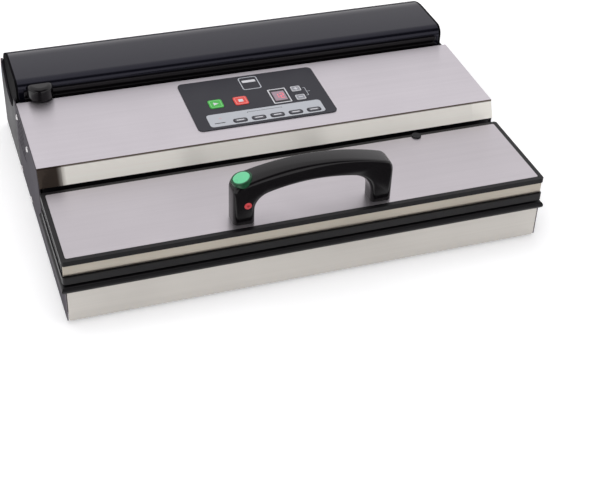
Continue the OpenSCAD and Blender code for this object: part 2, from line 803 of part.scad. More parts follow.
key_gap = 0.3;
key_proud = 0.5;
stem_r = 1.6;
key_tip = board_drop - 2.2;                 // lower end of a key's stem below the panel's surface
all_keys = concat([[green_key, start_key_size, 2.5], [red_key, start_key_size, 2.5],
                   [plus_key, step_key_size, 1.5], [minus_key, step_key_size, 1.5]],
                  [for (x = mode_x) [[x, mode_v], mode_size, mode_size[1] / 2 - 0.1]]);

module key_board() {
    board_w = window_w + 14;
    board_h = window_h + 12;
    switch_h = board_drop - key_tip - key_travel - 0.1;
    color("#2f6b46") on_panel() {
        translate([0, window_v, -board_drop - 1.6]) linear_extrude(1.6)
            round_rect(board_w, board_h, 3);
        for (k = all_keys) translate([k[0][0], k[0][1], -board_drop - eps])
            cylinder(h = switch_h + eps, r = 3);
        for (x = [-1, 1]) for (y = [-1, 1])
            translate([x * (board_w / 2 - 4), window_v + y * (board_h / 2 - 3), -board_drop - eps])
                cylinder(h = board_drop - sheet_t - eps, r = 2.6);
    }
}

module control_overlay() {
    color("#3c3c46") on_panel() difference() {
        translate([0, overlay_mid, 0]) linear_extrude(overlay_t) round_rect(overlay_w, overlay_h, 6);
        for (k = all_keys) translate([k[0][0], k[0][1], -cut]) linear_extrude(3)
            round_rect(k[1][0] + 2 * key_gap, k[1][1] + 2 * key_gap, k[2] + key_gap);
        translate([display_at[0], display_at[1], -cut]) linear_extrude(3)
            round_rect(display_size[0], display_size[1], 1);
    }
}

module display_window() {
    color("#101014") on_panel() translate([display_at[0], display_at[1], 0]) {
        translate([0, 0, -board_drop]) linear_extrude(board_drop + overlay_t - 0.1)
            round_rect(display_size[0] - 4, display_size[1] - 4, 1);
        translate([0, 0, -sheet_t]) linear_extrude(sheet_t + overlay_t - 0.1)
            round_rect(display_size[0] - 0.2, display_size[1] - 0.2, 1);
    }
}

// One membrane key: a cap that stands through the overlay, a collar below it and a stem
module key(i) {
    at = all_keys[i][0];
    size = all_keys[i][1];
    r = all_keys[i][2];
    collar_top = -0.1;
    collar_low = collar_top - 0.8;
    on_panel() translate([at[0], at[1], 0]) {
        translate([0, 0, collar_top - eps]) linear_extrude(overlay_t + key_proud - collar_top)
            round_rect(size[0], size[1], r);
        translate([0, 0, collar_low]) linear_extrude(collar_top - collar_low)
            round_rect(size[0] + 2, size[1] + 2, r + 1);
        translate([0, 0, -key_tip]) cylinder(h = key_tip + collar_low + eps, r = stem_r);
    }
}

module key_start() {
    color("#4cb84a") key(0);
}

module key_stop() {
    color("#e0473f") key(1);
}

module key_plus() {
    color("#d5d5da") key(2);
}

module key_minus() {
    color("#d5d5da") key(3);
}

module mode_key(i) {
    color("#8a8a90") key(i + 3);
}

// ---- Roll compartment and cutter ----

// Side outline of the tub's inside, grown by grow
module tub_inside(grow) {
    back = tub_back + grow;
    front = tub_front - grow;
    low = tub_z - grow;
    r = tub_r + grow;
    translate([front, low + r]) square([back - front, cover_low_z - low - r]);
    translate([front + r, low]) square([back - front - 2 * r, r + eps]);
    for (y = [front + r, back - r]) translate([y, low + r]) circle(r);
}

// Side outline of the tub's outside, which keeps clear of the closed cover
module tub_outside() {
    top = cover_low_z - gap;
    intersection() {
        tub_inside(wall_t);
        union() {
            rear_outline(cover_t + 0.8);
            square([lobe_y, top]);
        }
        square([body_d, top]);
    }
}

// Trough for the film roll, with the shelf that the film is cut on
module roll_tub() {
    color("#1b191c") {
        along_x(2 * tub_half) difference() {
            tub_outside();
            tub_inside(0);
        }
        box([-tub_half, panel_back_y - 3, shelf_z],
            [tub_half, tub_front - wall_t + eps, cover_low_z - gap]);
    }
}

// Wall that closes an end of the trough
module tub_end() {
    color("#1b191c") {
        translate([tub_half, 0, 0]) rotate([90, 0, 90]) linear_extrude(wall_t) tub_outside();
        box([tub_half, panel_back_y - 3, shelf_z],
            [tub_half + wall_t, tub_front - wall_t + eps, cover_low_z - gap]);
    }
}

// Smoke-dark shell with a hinge bead along its back
module roll_cover() {
    color("#2b2b31", 0.75) difference() {
        along_x(2 * (cover_half - cover_t)) {
            difference() {
                intersection() {
                    rear_outline(0);
                    cover_zone(0);
                }
                rear_outline(cover_t);
            }
            translate([cover_hinge_y, cover_hinge_z]) circle(bead_r);
        }
        both_sides() rod_x(cover_half - cover_pin_l - gap, cover_half, cover_hinge_y, cover_hinge_z,
                           cover_pin_r + run_gap);
    }
}

// Wall that closes an end of the cover, with the bore for its hinge pin
module cover_end() {
    color("#2b2b31") translate([cover_half - cover_t, 0, 0]) rotate([90, 0, 90]) linear_extrude(cover_t)
        difference() {
            union() {
                intersection() {
                    rear_outline(0);
                    cover_zone(0);
                }
                translate([cover_hinge_y, cover_hinge_z]) circle(bead_r);
            }
            translate([cover_hinge_y, cover_hinge_z]) circle(cover_pin_r + run_gap);
        }
}

module cutter_rail() {
    color("#141316") along_x(2 * rail_half) difference() {
        translate([rail_y, rail_z]) square([rail_t, rail_h]);
        translate([rail_y - cut, slot_z - slot_neck / 2]) square([cut + 1.2, slot_neck]);
        translate([rail_y + 1, slot_z - slot_head / 2]) square([2, slot_head]);
    }
}

// Round knob: a low dome cut flat where it meets the rail
module cutter_knob() {
    r = 5;
    color("#141316") difference() {
        translate([knob_rest, rail_y - gap, knob_z]) rotate_extrude($fn = 64) {
            square([knob_r - 1, 1]);
            translate([0, 1 - eps]) square([knob_r, knob_h - r - 1 + eps]);
            translate([0, knob_h - r - eps]) square([knob_r - r, r]);
            translate([knob_r - r, knob_h - r]) intersection() {
                circle(r);
                square(r);
            }
        }
        box([knob_rest - knob_w, rail_y - gap, knob_z - cut],
            [knob_rest + knob_w, rail_y + knob_w, knob_z + knob_h + cut]);
    }
}

module cutter_carriage() {
    half = knob_r - 1.5;
    side = 0.3;
    color("#77777c") {
        box([knob_rest - half, rail_y - gap, slot_z - slot_neck / 2 + side],
            [knob_rest + half, rail_y + 1.3, slot_z + slot_neck / 2 - side]);
        box([knob_rest - half, rail_y + 1.3 - eps, slot_z - slot_head / 2 + side],
            [knob_rest + half, rail_y + 2.7, slot_z + slot_head / 2 - side]);
    }
}

// Thin blade that reaches down into the gap behind the top panel
module cutter_blade() {
    low = cover_low_z + 0.9;
    color("#d9d9dc") translate([0, rail_y - gap - 1.6, 0]) rotate([90, 0, 0]) translate([0, 0, -0.6])
        linear_extrude(0.6) polygon([[knob_rest - 4, low], [knob_rest + 6, knob_z],
            [knob_rest - 6, knob_z]]);
}

// ---- Lid ----

module lid_frame() {
    rear_cut = 4;
    color("#1e1a1f") difference() {
        union() {
            // Lower rim, middle band behind the trim, and top frame
            plate([0, front_y + lid_d / 2], 2 * lid_half, lid_d, 3, lid_z, trim_z);
            box([-half_w + 1.2, front_y + sheet_t + 2.4, trim_z - eps], [half_w - 1.2, lid_back_y - 0.6,
                frame_z + eps]);
            for (i = [1:3]) box([-half_w, front_y + 6, trim_z + i * trim_h / 4 - 0.8],
                                [half_w, lid_back_y - 2, trim_z + i * trim_h / 4 + 0.8]);
            plate([0, front_y + lid_d / 2], 2 * lid_half - 0.6, lid_d, 3, frame_z, lid_top_z);
        }
        // Cavity, open at the bottom
        difference() {
            box([-lid_in_half, lid_in_front, lid_z - cut], [lid_in_half, lid_in_back, lid_roof_z]);
            both_sides() for (s = [-1, 1]) {
                x = bracket_x + s * (bracket_w / 2 + bracket_gap + rib_t / 2);
                box([x - rib_t / 2, hinge_y - 8, under_z + under_t + 0.4],
                    [x + rib_t / 2, lid_back_y, lid_roof_z + cut]);
            }
        }
        // Cut-outs for the hinge brackets
        both_sides() box([bracket_x - bracket_w / 2 - bracket_gap, hinge_y - 9, lid_z - cut],
                         [bracket_x + bracket_w / 2 + bracket_gap, lid_back_y + cut, lid_roof_z]);
        rod_x(-lid_half + 8, lid_half - 8, hinge_y, hinge_z, hinge_r + run_gap);
        // Chamfer that lets the rear edge swing down
        along_x(2 * rim_half) polygon([[lid_back_y - rear_cut, lid_z - cut], [lid_back_y + cut, lid_z - cut],
            [lid_back_y + cut, lid_z + rear_cut + cut], [lid_back_y - rear_cut, lid_z]]);
        plate([0, (plate_front + plate_back) / 2], 2 * plate_half + 0.2, plate_back - plate_front + 0.2,
              2, lid_top_z - plate_t, lid_top_z + cut);
        handle_screw_holes();
        translate([grommet_x, grommet_y, lid_roof_z - cut]) cylinder(h = 10, r = grommet_stem);
    }
}

module handle_screw_holes() {
    for (p = handle_screw_at) translate([p[0], p[1], lid_roof_z - cut])
        cylinder(h = 8, r = screw_shank + 0.2);
}

module lid_top_plate() {
    color("#bdb8bc") difference() {
        plate([0, (plate_front + plate_back) / 2], 2 * plate_half, plate_back - plate_front, 2,
              lid_top_z - plate_t, lid_top_z);
        handle_screw_holes();
        translate([grommet_x, grommet_y, lid_roof_z - cut]) cylinder(h = 10, r = grommet_stem);
    }
}

module lid_front_trim() {
    color("#beb5a9") {
        box([-half_w + 0.2, front_y + 2.4, trim_z + 0.2], [half_w - 0.2, front_y + 2.4 + sheet_t,
            frame_z - 0.2]);
    }
}

module lid_under_panel() {
    play = 0.3;
    back = lid_in_back - play;
    front = lid_in_front + play;
    well = 10;
    post_step = 0.55 * bracket_x;
    color("#26232a") difference() {
        union() {
            box([-lid_in_half + play, front, under_z], [lid_in_half - play, back, under_z + under_t]);
            plate([0, ring_y], 2 * (channel_half - 4 + wall_t), 2 * (channel_hd + wall_t), 6 + wall_t,
                  under_z, under_z + well + wall_t);
            // Posts up to the lid's roof
            for (i = [-1:1]) for (y = [seal_y + seal_w / 2 + 9.5, lid_back_y - 15])
                translate([i * post_step, y, under_z + under_t - eps])
                    cylinder(h = lid_roof_z - under_z - under_t + eps, r = 4);
        }
        plate([0, ring_y], 2 * (channel_half - 4), 2 * channel_hd, 6, under_z - cut, under_z + well);
        ring([0, ring_y], 2 * ring_half + gasket_w, gasket_d + gasket_w, 12, gasket_w,
             under_z - cut, under_z + ring_groove);
        box([-seal_l / 2 - 2, seal_y - seal_w / 2 - 1, under_z - cut],
            [seal_l / 2 + 2, seal_y + seal_w / 2 + 1, under_z + 3.4]);
        both_sides() box([bracket_x - 8, hinge_y - 10, under_z - cut], [bracket_x + 8, back + cut,
                         under_z + under_t + cut]);
        along_x(2 * rim_half) polygon([[back - 3, under_z - cut], [back + cut, under_z - cut],
            [back + cut, under_z + 4], [back - 3, under_z]]);
    }
}

module upper_gasket() {
    color("#2b282c") ring([0, ring_y], 2 * ring_half + gasket_w, gasket_d + gasket_w, 12, gasket_w,
                          ring_low_z, under_z + ring_groove);
}

module pressure_strip() {
    half = seal_w / 2 + 1;
    low = seal_top_z + wire_t + tape_t + gap;
    color("#a33f33") along_x(seal_l + 4) polygon([[seal_y - half, under_z + 3.4], [seal_y - half, under_z],
        [seal_y - 2, low], [seal_y + 2, low], [seal_y + half, under_z], [seal_y + half, under_z + 3.4]]);
}

// ---- Handle ----

// Arch on two posts. Its upper front edge is broad beside the button and narrows to the right.
module handle() {
    n = 2 * (post_n + turn_n) + crown_n;
    left = post_n + turn_n;
    right = left + crown_n;
    // 0 on the posts, 1 on the crown
    arch = [for (i = [0:n]) i <= post_n || i >= n - post_n ? 0 : i >= left && i <= right ? 1
        : 0.5 - 0.5 * cos(180 * (i < left ? i - post_n : n - post_n - i) / turn_n)];
    // 0 at the left shoulder, 1 at the right one
    along = [for (i = [0:n]) min(1, max(0, (i - left) / crown_n))];
    rounds = [for (f = arch) post_round + (arch_round - post_round) * f];
    fronts = [for (i = [0:n]) rounds[i]
        + arch[i] * (thumb_round - arch_round) * (0.5 + 0.5 * cos(180 * along[i]))];
    color("#1a171b") difference() {
        translate([handle_x, handle_mid, 0])
            loft(arch_line(handle_w / 2, handle_top, crown_r, [shoulder_r, shoulder_r], 0),
                 arch_line(handle_w / 2 - post_w, handle_top - arch_t, grip_r, grip_turns, grip_shift),
                 handle_d, rounds, fronts);
        at_button() translate([0, 0, -14]) cylinder(h = 40, r = bezel_r + 0.1);
        at_button() translate([0, 0, -22]) cylinder(h = 12, r = 5.6);
        translate([lamp_x, handle_front - cut, lamp_z]) rotate([-90, 0, 0])
            cylinder(h = lamp_deep + cut, r = lamp_r + 0.1);
        for (p = handle_screw_at) translate([p[0], p[1], lid_top_z - cut])
            cylinder(h = 12, r = screw_shank + 0.1);
    }
}

module handle_screws() {
    color("#b8b8ba") for (p = handle_screw_at) translate([p[0], p[1], 0]) {
        translate([0, 0, lid_roof_z - 2.4]) cylinder(h = 2.4, r = screw_r);
        translate([0, 0, lid_roof_z - eps]) cylinder(h = 12, r = screw_shank);
    }
}

module seal_lamp() {
    color("#d9251d") translate([lamp_x, handle_front, lamp_z]) rotate([-90, 0, 0]) {
        cylinder(h = lamp_deep, r = lamp_r);
        intersection() {
            translate([0, 0, lamp_r + 1.2]) sphere(lamp_r + 2.1);
            translate([0, 0, -1]) cylinder(h = 2, r = lamp_r);
        }
    }
}

module button_bezel() {
    color("#2c2a2e") at_button() difference() {
        union() {
            translate([0, 0, -14]) cylinder(h = 14, r = bezel_r);
            translate([0, 0, -eps]) cylinder(h = 0.4, r = bezel_r - 0.5);
        }
        translate([0, 0, -12]) cylinder(h = 14, r = button_r + gap);
        translate([0, 0, -15]) cylinder(h = 4, r = 4);
    }
}

module start_switch() {
    color("#55565c") at_button() {
        translate([0, 0, -22]) cylinder(h = 6.4, r = 5);
        translate([0, 0, -15.6 - eps]) cylinder(h = 2.6, r = 1.8);
    }
}

// Button cap with a shallow dome, a skirt and a stem over the switch
module start_button() {
    dome_r = 40;
    color("#6fd7a0") at_button() {
        intersection() {
            translate([0, 0, 1.5 - dome_r]) sphere(dome_r, $fn = 96);
            translate([0, 0, -9]) cylinder(h = 12, r = button_r);
        }
        translate([0, 0, -13 + button_travel + 0.2]) cylinder(h = 5, r = 3);
    }
}

module cable_grommet() {
    color("#1c1a1d") {
        translate([grommet_x, grommet_y, lid_roof_z - 1])
            cylinder(h = lid_top_z - lid_roof_z + 1 + eps, r = grommet_stem);
        translate([grommet_x, grommet_y, lid_top_z]) cylinder(h = 1.6, r = grommet_r);
    }
}

// ---- Lid hinge ----

module lid_hinge_brackets() {
    half = 4.6;
    color("#b4b4b6") both_sides() difference() {
        translate([bracket_x - bracket_w / 2, 0, 0]) rotate([90, 0, 90]) linear_extrude(bracket_w) {
            translate([hinge_y, hinge_z]) circle(hinge_eye);
            translate([hinge_y - half, deck_z]) square([2 * half, hinge_z - deck_z]);
        }
        rod_x(0, half_w, hinge_y, hinge_z, hinge_r);
    }
}

// Steel pins of the lid's hinge and of the roll cover's hinge
module hinge_pins() {
    color("#d0d0d2") both_sides() {
        rod_x(bracket_x - pin_l / 2, bracket_x + pin_l / 2, hinge_y, hinge_z, hinge_r);
        rod_x(cover_half - cover_pin_l, half_w - 0.6, cover_hinge_y, cover_hinge_z, cover_pin_r);
    }
}

// ---- Rear fittings ----

module mains_inlet() {
    deep = 22;
    wall = 1.4;
    color("#17161a") difference() {
        union() {
            box([inlet_x - inlet_w / 2 - wall, rear_y - deep, inlet_z - inlet_h / 2 - wall],
                [inlet_x + inlet_w / 2 + wall, rear_y + eps, inlet_z + inlet_h / 2 + wall]);
            box([inlet_x - inlet_w / 2 - 3.5, rear_y, inlet_z - inlet_h / 2 - 3.5],
                [inlet_x + inlet_w / 2 + 3.5, rear_y + 1.8, inlet_z + inlet_h / 2 + 3.5]);
        }
        box([inlet_x - inlet_w / 2, rear_y - deep + 3, inlet_z - inlet_h / 2],
            [inlet_x + inlet_w / 2, back_y + cut, inlet_z + inlet_h / 2]);
    }
    color("#c8c8ca") for (x = [-7, 0, 7])
        box([inlet_x + x - 1, rear_y - deep + 3 - eps, inlet_z - 2 + (x == 0 ? 3 : -1)],
            [inlet_x + x + 1, rear_y - 3, inlet_z + 2 + (x == 0 ? 3 : -1)]);
}

module switch_housing() {
    wall = 1.4;
    deep = 20;
    color("#17161a") difference() {
        union() {
            box([switch_x - rocker_w / 2 - wall, rear_y - deep, inlet_z - rocker_h / 2 - wall],
                [switch_x + rocker_w / 2 + wall, rear_y + eps, inlet_z + rocker_h / 2 + wall]);
            box([switch_x - rocker_w / 2 - 3, rear_y, inlet_z - rocker_h / 2 - 3],
                [switch_x + rocker_w / 2 + 3, rear_y + 1.2, inlet_z + rocker_h / 2 + 3]);
        }
        box([switch_x - rocker_w / 2, rear_y - deep + 2, inlet_z - rocker_h / 2],
            [switch_x + rocker_w / 2, back_y + cut, inlet_z + rocker_h / 2]);
    }
    color("#c8c8ca") rod_x(switch_x - rocker_w / 2 - eps, switch_x + rocker_w / 2 + eps, rear_y - rocker_r,
                           inlet_z, 1);
}

// Rocker with two flat faces; it turns about a pin behind its face
module power_rocker() {
    half_h = rocker_h / 2 - 1.6;
    side = gap;
    color("#c62a22") translate([0, rear_y - rocker_r, inlet_z]) rotate([-rocker_angle / 2, 0, 0])
        difference() {
            translate([switch_x, 0, 0]) along_x(rocker_w - 2 * side) polygon([[-3, -3], [-3, 3],
                [0, half_h - 2], [rocker_r - 1, half_h], [rocker_r - 2.8, 0], [rocker_r - 1, -half_h],
                [0, -half_h + 2]]);
            rod_x(0, half_w, 0, 0, 1 + run_gap);
        }
}

// ---- Fasteners ----

module side_screws() {
    color("#d8d8da") both_sides() for (p = side_screws) {
        rod_x(half_w, half_w + screw_head, p[0], p[1], screw_r);
        rod_x(sheet_in - 5, half_w + eps, p[0], p[1], screw_shank);
    }
}

module bottom_screws() {
    color("#b8b8ba") for (p = bosses) translate([p[0], p[1], foot_h + 0.4]) {
        cylinder(h = screw_head, r = screw_r);
        cylinder(h = 12, r = screw_shank);
    }
}

bottom_pan();
front_panel();
both_sides() side_panel();  // side_panels
both_sides() end_cap();  // end_caps
top_housing();
rear_panel();
deck();
suction_nozzle();
lower_gasket();
sealing_bar();
heating_wire();
ptfe_tape();
feet();
pump_motor();
pump_head();
suction_hose();
release_valve();
pressure_switch();
transformer();
control_board();
key_board();
control_overlay();
display_window();
roll_tub();
both_sides() tub_end();  // tub_ends
lid_hinge_brackets();
hinge_pins();
mains_inlet();
switch_housing();
side_screws();
bottom_screws();
lid_frame();
lid_top_plate();
lid_front_trim();
lid_under_panel();
upper_gasket();
pressure_strip();
handle();
handle_screws();
seal_lamp();
button_bezel();
start_switch();
cable_grommet();
start_button();
roll_cover();
both_sides() cover_end();  // cover_ends
cutter_rail();
cutter_knob();
cutter_carriage();
cutter_blade();
power_rocker();
key_start();
key_stop();
key_plus();
key_minus();
mode_key(1);  // key_mode_1
mode_key(2);  // key_mode_2
mode_key(3);  // key_mode_3
mode_key(4);  // key_mode_4
mode_key(5);  // key_mode_5
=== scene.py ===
# %% [markdown]
# # A vacuum sealer, dressed
# The machine is a flat steel box with a hinged sealing lid in front, a key panel behind it and a
# compartment for film rolls at the back. Its solids are ready made and in their places. This lesson
# gives them their finishes, and replaces the ones that want softer edges or finer detail.

# %% Load the solids
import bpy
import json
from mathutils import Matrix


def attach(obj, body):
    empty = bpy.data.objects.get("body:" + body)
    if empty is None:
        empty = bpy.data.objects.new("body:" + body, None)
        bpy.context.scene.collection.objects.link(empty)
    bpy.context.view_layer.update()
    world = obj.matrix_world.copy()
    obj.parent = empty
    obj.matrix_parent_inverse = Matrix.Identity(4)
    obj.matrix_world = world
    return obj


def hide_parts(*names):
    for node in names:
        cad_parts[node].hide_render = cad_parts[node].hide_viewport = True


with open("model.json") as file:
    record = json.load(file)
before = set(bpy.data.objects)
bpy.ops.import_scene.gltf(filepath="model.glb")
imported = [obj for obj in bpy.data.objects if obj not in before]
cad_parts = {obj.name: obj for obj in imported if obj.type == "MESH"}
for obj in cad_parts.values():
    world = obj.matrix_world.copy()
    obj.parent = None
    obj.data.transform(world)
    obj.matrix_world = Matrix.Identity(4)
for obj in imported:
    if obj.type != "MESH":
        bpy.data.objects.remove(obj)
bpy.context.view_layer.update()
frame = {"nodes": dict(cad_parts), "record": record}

import json
import math
import bmesh
import bpy
from mathutils import Matrix, Vector

nodes = frame["nodes"]
body_of = {node: body for body, its in frame["record"]["behaviour"]["bodies"].items() for node in its}
scene = bpy.context.scene
scene.view_settings.view_transform = "Standard"
MM = 0.001

# %% [markdown]
# ## The camera
# The machine is seen from the front, a little to its left and well above it, through a long lens.
# Yaw, pitch and roll are turned into three axes, and these are the columns of the camera's matrix.

# %% Camera
IMAGE_W, IMAGE_H = 600, 502
FOCAL_PX = 1266.5
CENTRE_PX = (311.21, 247.67)
YAW, PITCH, ROLL = (math.radians(a) for a in (21.045, 37.514, 2.861))
CAMERA_AT = (-0.35759, -1.10315, 0.79487)

ahead = Vector((math.sin(YAW) * math.cos(PITCH), math.cos(YAW) * math.cos(PITCH), -math.sin(PITCH)))
level = Vector((math.cos(YAW), -math.sin(YAW), 0))
upward = level.cross(ahead)
right = math.cos(ROLL) * level + math.sin(ROLL) * upward
up = -math.sin(ROLL) * level + math.cos(ROLL) * upward

lens = bpy.data.cameras.new("camera")
lens.sensor_width = 36
lens.lens = FOCAL_PX * lens.sensor_width / IMAGE_W
lens.shift_x = (IMAGE_W / 2 - CENTRE_PX[0]) / IMAGE_W
lens.shift_y = (CENTRE_PX[1] - IMAGE_H / 2) / IMAGE_W
lens.clip_end = 20
camera = bpy.data.objects.new("camera", lens)
turned = Matrix((right, up, -ahead)).transposed().to_4x4()
camera.matrix_world = Matrix.Translation(CAMERA_AT) @ turned
scene.collection.objects.link(camera)
scene.camera = camera
print("lens", round(lens.lens, 2), "shift", round(lens.shift_x, 4), round(lens.shift_y, 4))

# %% [markdown]
# ## Helpers for materials
# Colours are written as sRGB hex values, because that is how a colour chart names them, and one
# function makes them linear. A second adds a node with its settings and its links, a third links
# nodes to a shader, and a last one starts a material. Numbers that hold for the whole surface go
# straight on the shader's sockets.

# %% Colour and node helpers
def linear(hex_colour):
    """The linear colour of an sRGB hex value such as #C4BFC3."""
    parts = [int(hex_colour[i:i + 2], 16) / 255 for i in (1, 3, 5)]
    return [c / 12.92 if c <= 0.04045 else ((c + 0.055) / 1.055) ** 2.4 for c in parts] + [1]


def output(value):
    """A node stands for its first output; any other value is itself."""
    return value.outputs[0] if isinstance(value, bpy.types.Node) else value


def add(tree, kind, feeds=None, **settings):
    """Adds a node. Settings are its properties; feeds gives an input a value or another's output."""
    made = tree.nodes.new(kind)
    for name, value in settings.items():
        setattr(made, name, value)
    for name, value in (feeds or {}).items():
        value = output(value)
        if isinstance(value, bpy.types.NodeSocket):
            tree.links.new(value, made.inputs[name])
        else:
            made.inputs[name].default_value = value
    return made


def shader_of(made):
    """A material's Principled shader."""
    return made.node_tree.nodes["Principled BSDF"]


def feed(shader, **patterns):
    """Links patterns to a shader's sockets."""
    for socket, source in patterns.items():
        shader.id_data.links.new(output(source), shader.inputs[socket.replace("_", " ")])


def shades(colour, *factors):
    """A colour made darker or lighter by each factor."""
    return [[c * factor for c in linear(colour)[:3]] + [1] for factor in factors]


def material(name, colour, **shader):
    """A material, its tree, and its Principled shader to link patterns to."""
    made = bpy.data.materials.new(name)
    made.use_nodes = True
    made.diffuse_color = linear(colour)
    body = shader_of(made)
    body.inputs["Base Color"].default_value = linear(colour)
    for socket, value in shader.items():
        body.inputs[socket.replace("_", " ")].default_value = value
    return made, made.node_tree, body


print("white is", linear("#FFFFFF"))

# %% [markdown]
# ## Light and background
# A product like this is usually shown on white paper that sweeps up behind it, under large soft lamps.
# Steel and gloss plastic show what stands round them: the paper behind and above, a low sheet of paper
# in front, and the dark room over it and in the gap at its left. A picture of a studio could wrap
# round the scene, but a few ranges of direction say the same in numbers that are easy to change. So
# the world is white to the camera, pale or dark to gloss by direction, and lights the scene evenly.

# %% World
PAPER_EDGE = math.radians(-2)
ROOM_DARK, PAPER_WHITE = "#232023", "#F6F4F6"
MIRRORED, LIGHTING = 0.97, 0.55
smooth = {"interpolation_type": "SMOOTHSTEP"}
world = bpy.data.worlds.new("studio")
scene.world = world
world.use_nodes = True
sky = world.node_tree
sky.nodes.clear()
ray = add(sky, "ShaderNodeLightPath")
seen = add(sky, "ShaderNodeMath", {0: ray.outputs["Is Camera Ray"],
                                   1: ray.outputs["Is Transmission Ray"]}, operation="MAXIMUM")
bearing = add(sky, "ShaderNodeTexCoord")
way = add(sky, "ShaderNodeSeparateXYZ", {0: bearing.outputs["Generated"]})
behind = add(sky, "ShaderNodeMapRange", {0: way.outputs["Y"], 1: -0.45, 2: -0.1}, **smooth)
# Near the horizon the paper behind is dimmer, which edges the cover's back with a dark line
raised = add(sky, "ShaderNodeMapRange", {0: way.outputs["Z"], 1: 0.04, 2: 0.3, 3: 0.1, 4: 1}, **smooth)
sweep = add(sky, "ShaderNodeMath", {0: behind, 1: raised}, operation="MULTIPLY")
above = add(sky, "ShaderNodeMapRange", {0: way.outputs["Z"], 1: 0.78, 2: 0.95}, **smooth)
low = add(sky, "ShaderNodeMapRange", {0: way.outputs["Z"], 1: 0.4, 2: 0.6, 3: 1, 4: 0}, **smooth)
# The front paper has a gap, from a little to the left of straight ahead to well round to the left
off_edge = add(sky, "ShaderNodeVectorMath", {0: bearing.outputs["Generated"],
               1: (math.cos(PAPER_EDGE), math.sin(PAPER_EDGE), 0)}, operation="DOT_PRODUCT")
beside = add(sky, "ShaderNodeMapRange", {0: off_edge.outputs["Value"], 1: -0.005, 2: 0.005}, **smooth)
past_gap = add(sky, "ShaderNodeMapRange", {0: off_edge.outputs["Value"], 1: -0.35, 2: -0.5}, **smooth)
paper_round = add(sky, "ShaderNodeMath", {0: beside, 1: past_gap}, operation="MAXIMUM")
in_front = add(sky, "ShaderNodeMath", {0: low, 1: paper_round}, operation="MULTIPLY")
most = add(sky, "ShaderNodeMath", {0: sweep, 1: above}, operation="MAXIMUM")
pale = add(sky, "ShaderNodeMath", {0: most, 1: in_front}, operation="MAXIMUM")
room = add(sky, "ShaderNodeMix", {0: pale, 6: linear(ROOM_DARK), 7: linear(PAPER_WHITE)},
           data_type="RGBA")
mirrored = add(sky, "ShaderNodeBackground", {"Color": room.outputs[2], "Strength": MIRRORED})
shown = add(sky, "ShaderNodeBackground", {"Color": (1, 1, 1, 1), "Strength": 1})
light = add(sky, "ShaderNodeBackground", {"Color": linear("#F6F5F8"), "Strength": LIGHTING})
gloss = add(sky, "ShaderNodeMixShader", {0: ray.outputs["Is Glossy Ray"], 1: light, 2: mirrored})
mixed = add(sky, "ShaderNodeMixShader", {0: seen, 1: gloss, 2: shown})
add(sky, "ShaderNodeOutputWorld", {"Surface": mixed})
print("world nodes:", len(sky.nodes))


# %% Lamps
def lamp(name, place, target, size, power):
    """A soft lamp that looks at a point; gloss doesn't show it, so plates stay even."""
    data = bpy.data.lights.new(name, "AREA")
    data.shape = "RECTANGLE"
    data.size, data.size_y = size
    data.energy = power
    made = bpy.data.objects.new(name, data)
    made.location = place
    made.visible_glossy = False
    made.rotation_euler = (Vector(target) - Vector(place)).to_track_quat("-Z", "Y").to_euler()
    scene.collection.objects.link(made)
    return made


lamp("overhead", (-0.2, 0.3, 1.8), (0, 0, 0), (1.6, 1.2), 13)
lamp("front_left", (-1.4, -1.5, 1.1), (0, 0, 0.05), (1.0, 1.0), 9)
lamp("front_right", (1.5, -1.2, 0.9), (0, 0, 0.05), (0.9, 0.9), 5)

# %% [markdown]
# ## The floor
# The floor is white paper. To the camera it glows a little, and more with distance, so that it meets
# the white behind it without an edge, while the machine's soft shadow stays on it. Gloss sees the
# paper too, but its far front part and the part behind the machine lie in shade: this keeps the black
# mouldings deep.

# %% Floor
PAPER, SHADED = "#F4F4F4", "#5A585B"
NEAR_GLOW = 0.34
HALF = 6
paper_finish, tree, body = material("studio_paper", PAPER, Roughness=0.9)
ray = add(tree, "ShaderNodeLightPath")
shown = add(tree, "ShaderNodeMath", {0: ray.outputs["Is Camera Ray"], 1: ray.outputs["Is Glossy Ray"]},
            operation="MAXIMUM")
place = add(tree, "ShaderNodeTexCoord")
away = add(tree, "ShaderNodeVectorMath", {0: place.outputs["Object"]}, operation="LENGTH")
far = add(tree, "ShaderNodeMapRange", {0: away.outputs["Value"], 1: 0.6, 2: 1.6, 3: NEAR_GLOW, 4: 1})
glow = add(tree, "ShaderNodeMath", {0: shown, 1: far}, operation="MULTIPLY")
apart = add(tree, "ShaderNodeSeparateXYZ", {0: place.outputs["Object"]})
shade = add(tree, "ShaderNodeMapRange", {0: apart.outputs["Y"], 1: -0.262, 2: -0.29})
beyond = add(tree, "ShaderNodeMapRange", {0: apart.outputs["Y"], 1: 0.25, 2: 0.35})
dim = add(tree, "ShaderNodeMath", {0: shade, 1: beyond}, operation="MAXIMUM")
unlit = add(tree, "ShaderNodeMath", {0: dim, 1: ray.outputs["Is Glossy Ray"]}, operation="MULTIPLY")
tint = add(tree, "ShaderNodeMix", {0: unlit, 6: linear(PAPER), 7: linear(SHADED)}, data_type="RGBA")
glow_tint = add(tree, "ShaderNodeMix", {0: unlit, 6: (1, 1, 1, 1), 7: (0, 0, 0, 1)},
                data_type="RGBA")
feed(body, Base_Color=tint.outputs[2], Emission_Color=glow_tint.outputs[2], Emission_Strength=glow)
paper = bpy.data.meshes.new("floor")
corners = [(-HALF, -HALF, 0), (HALF, -HALF, 0), (HALF, HALF, 0), (-HALF, HALF, 0)]
paper.from_pydata(corners, [], [(0, 1, 2, 3)])
paper.materials.append(paper_finish)
floor = bpy.data.objects.new("floor", paper)
scene.collection.objects.link(floor)
print("floor", floor.dimensions[:2])

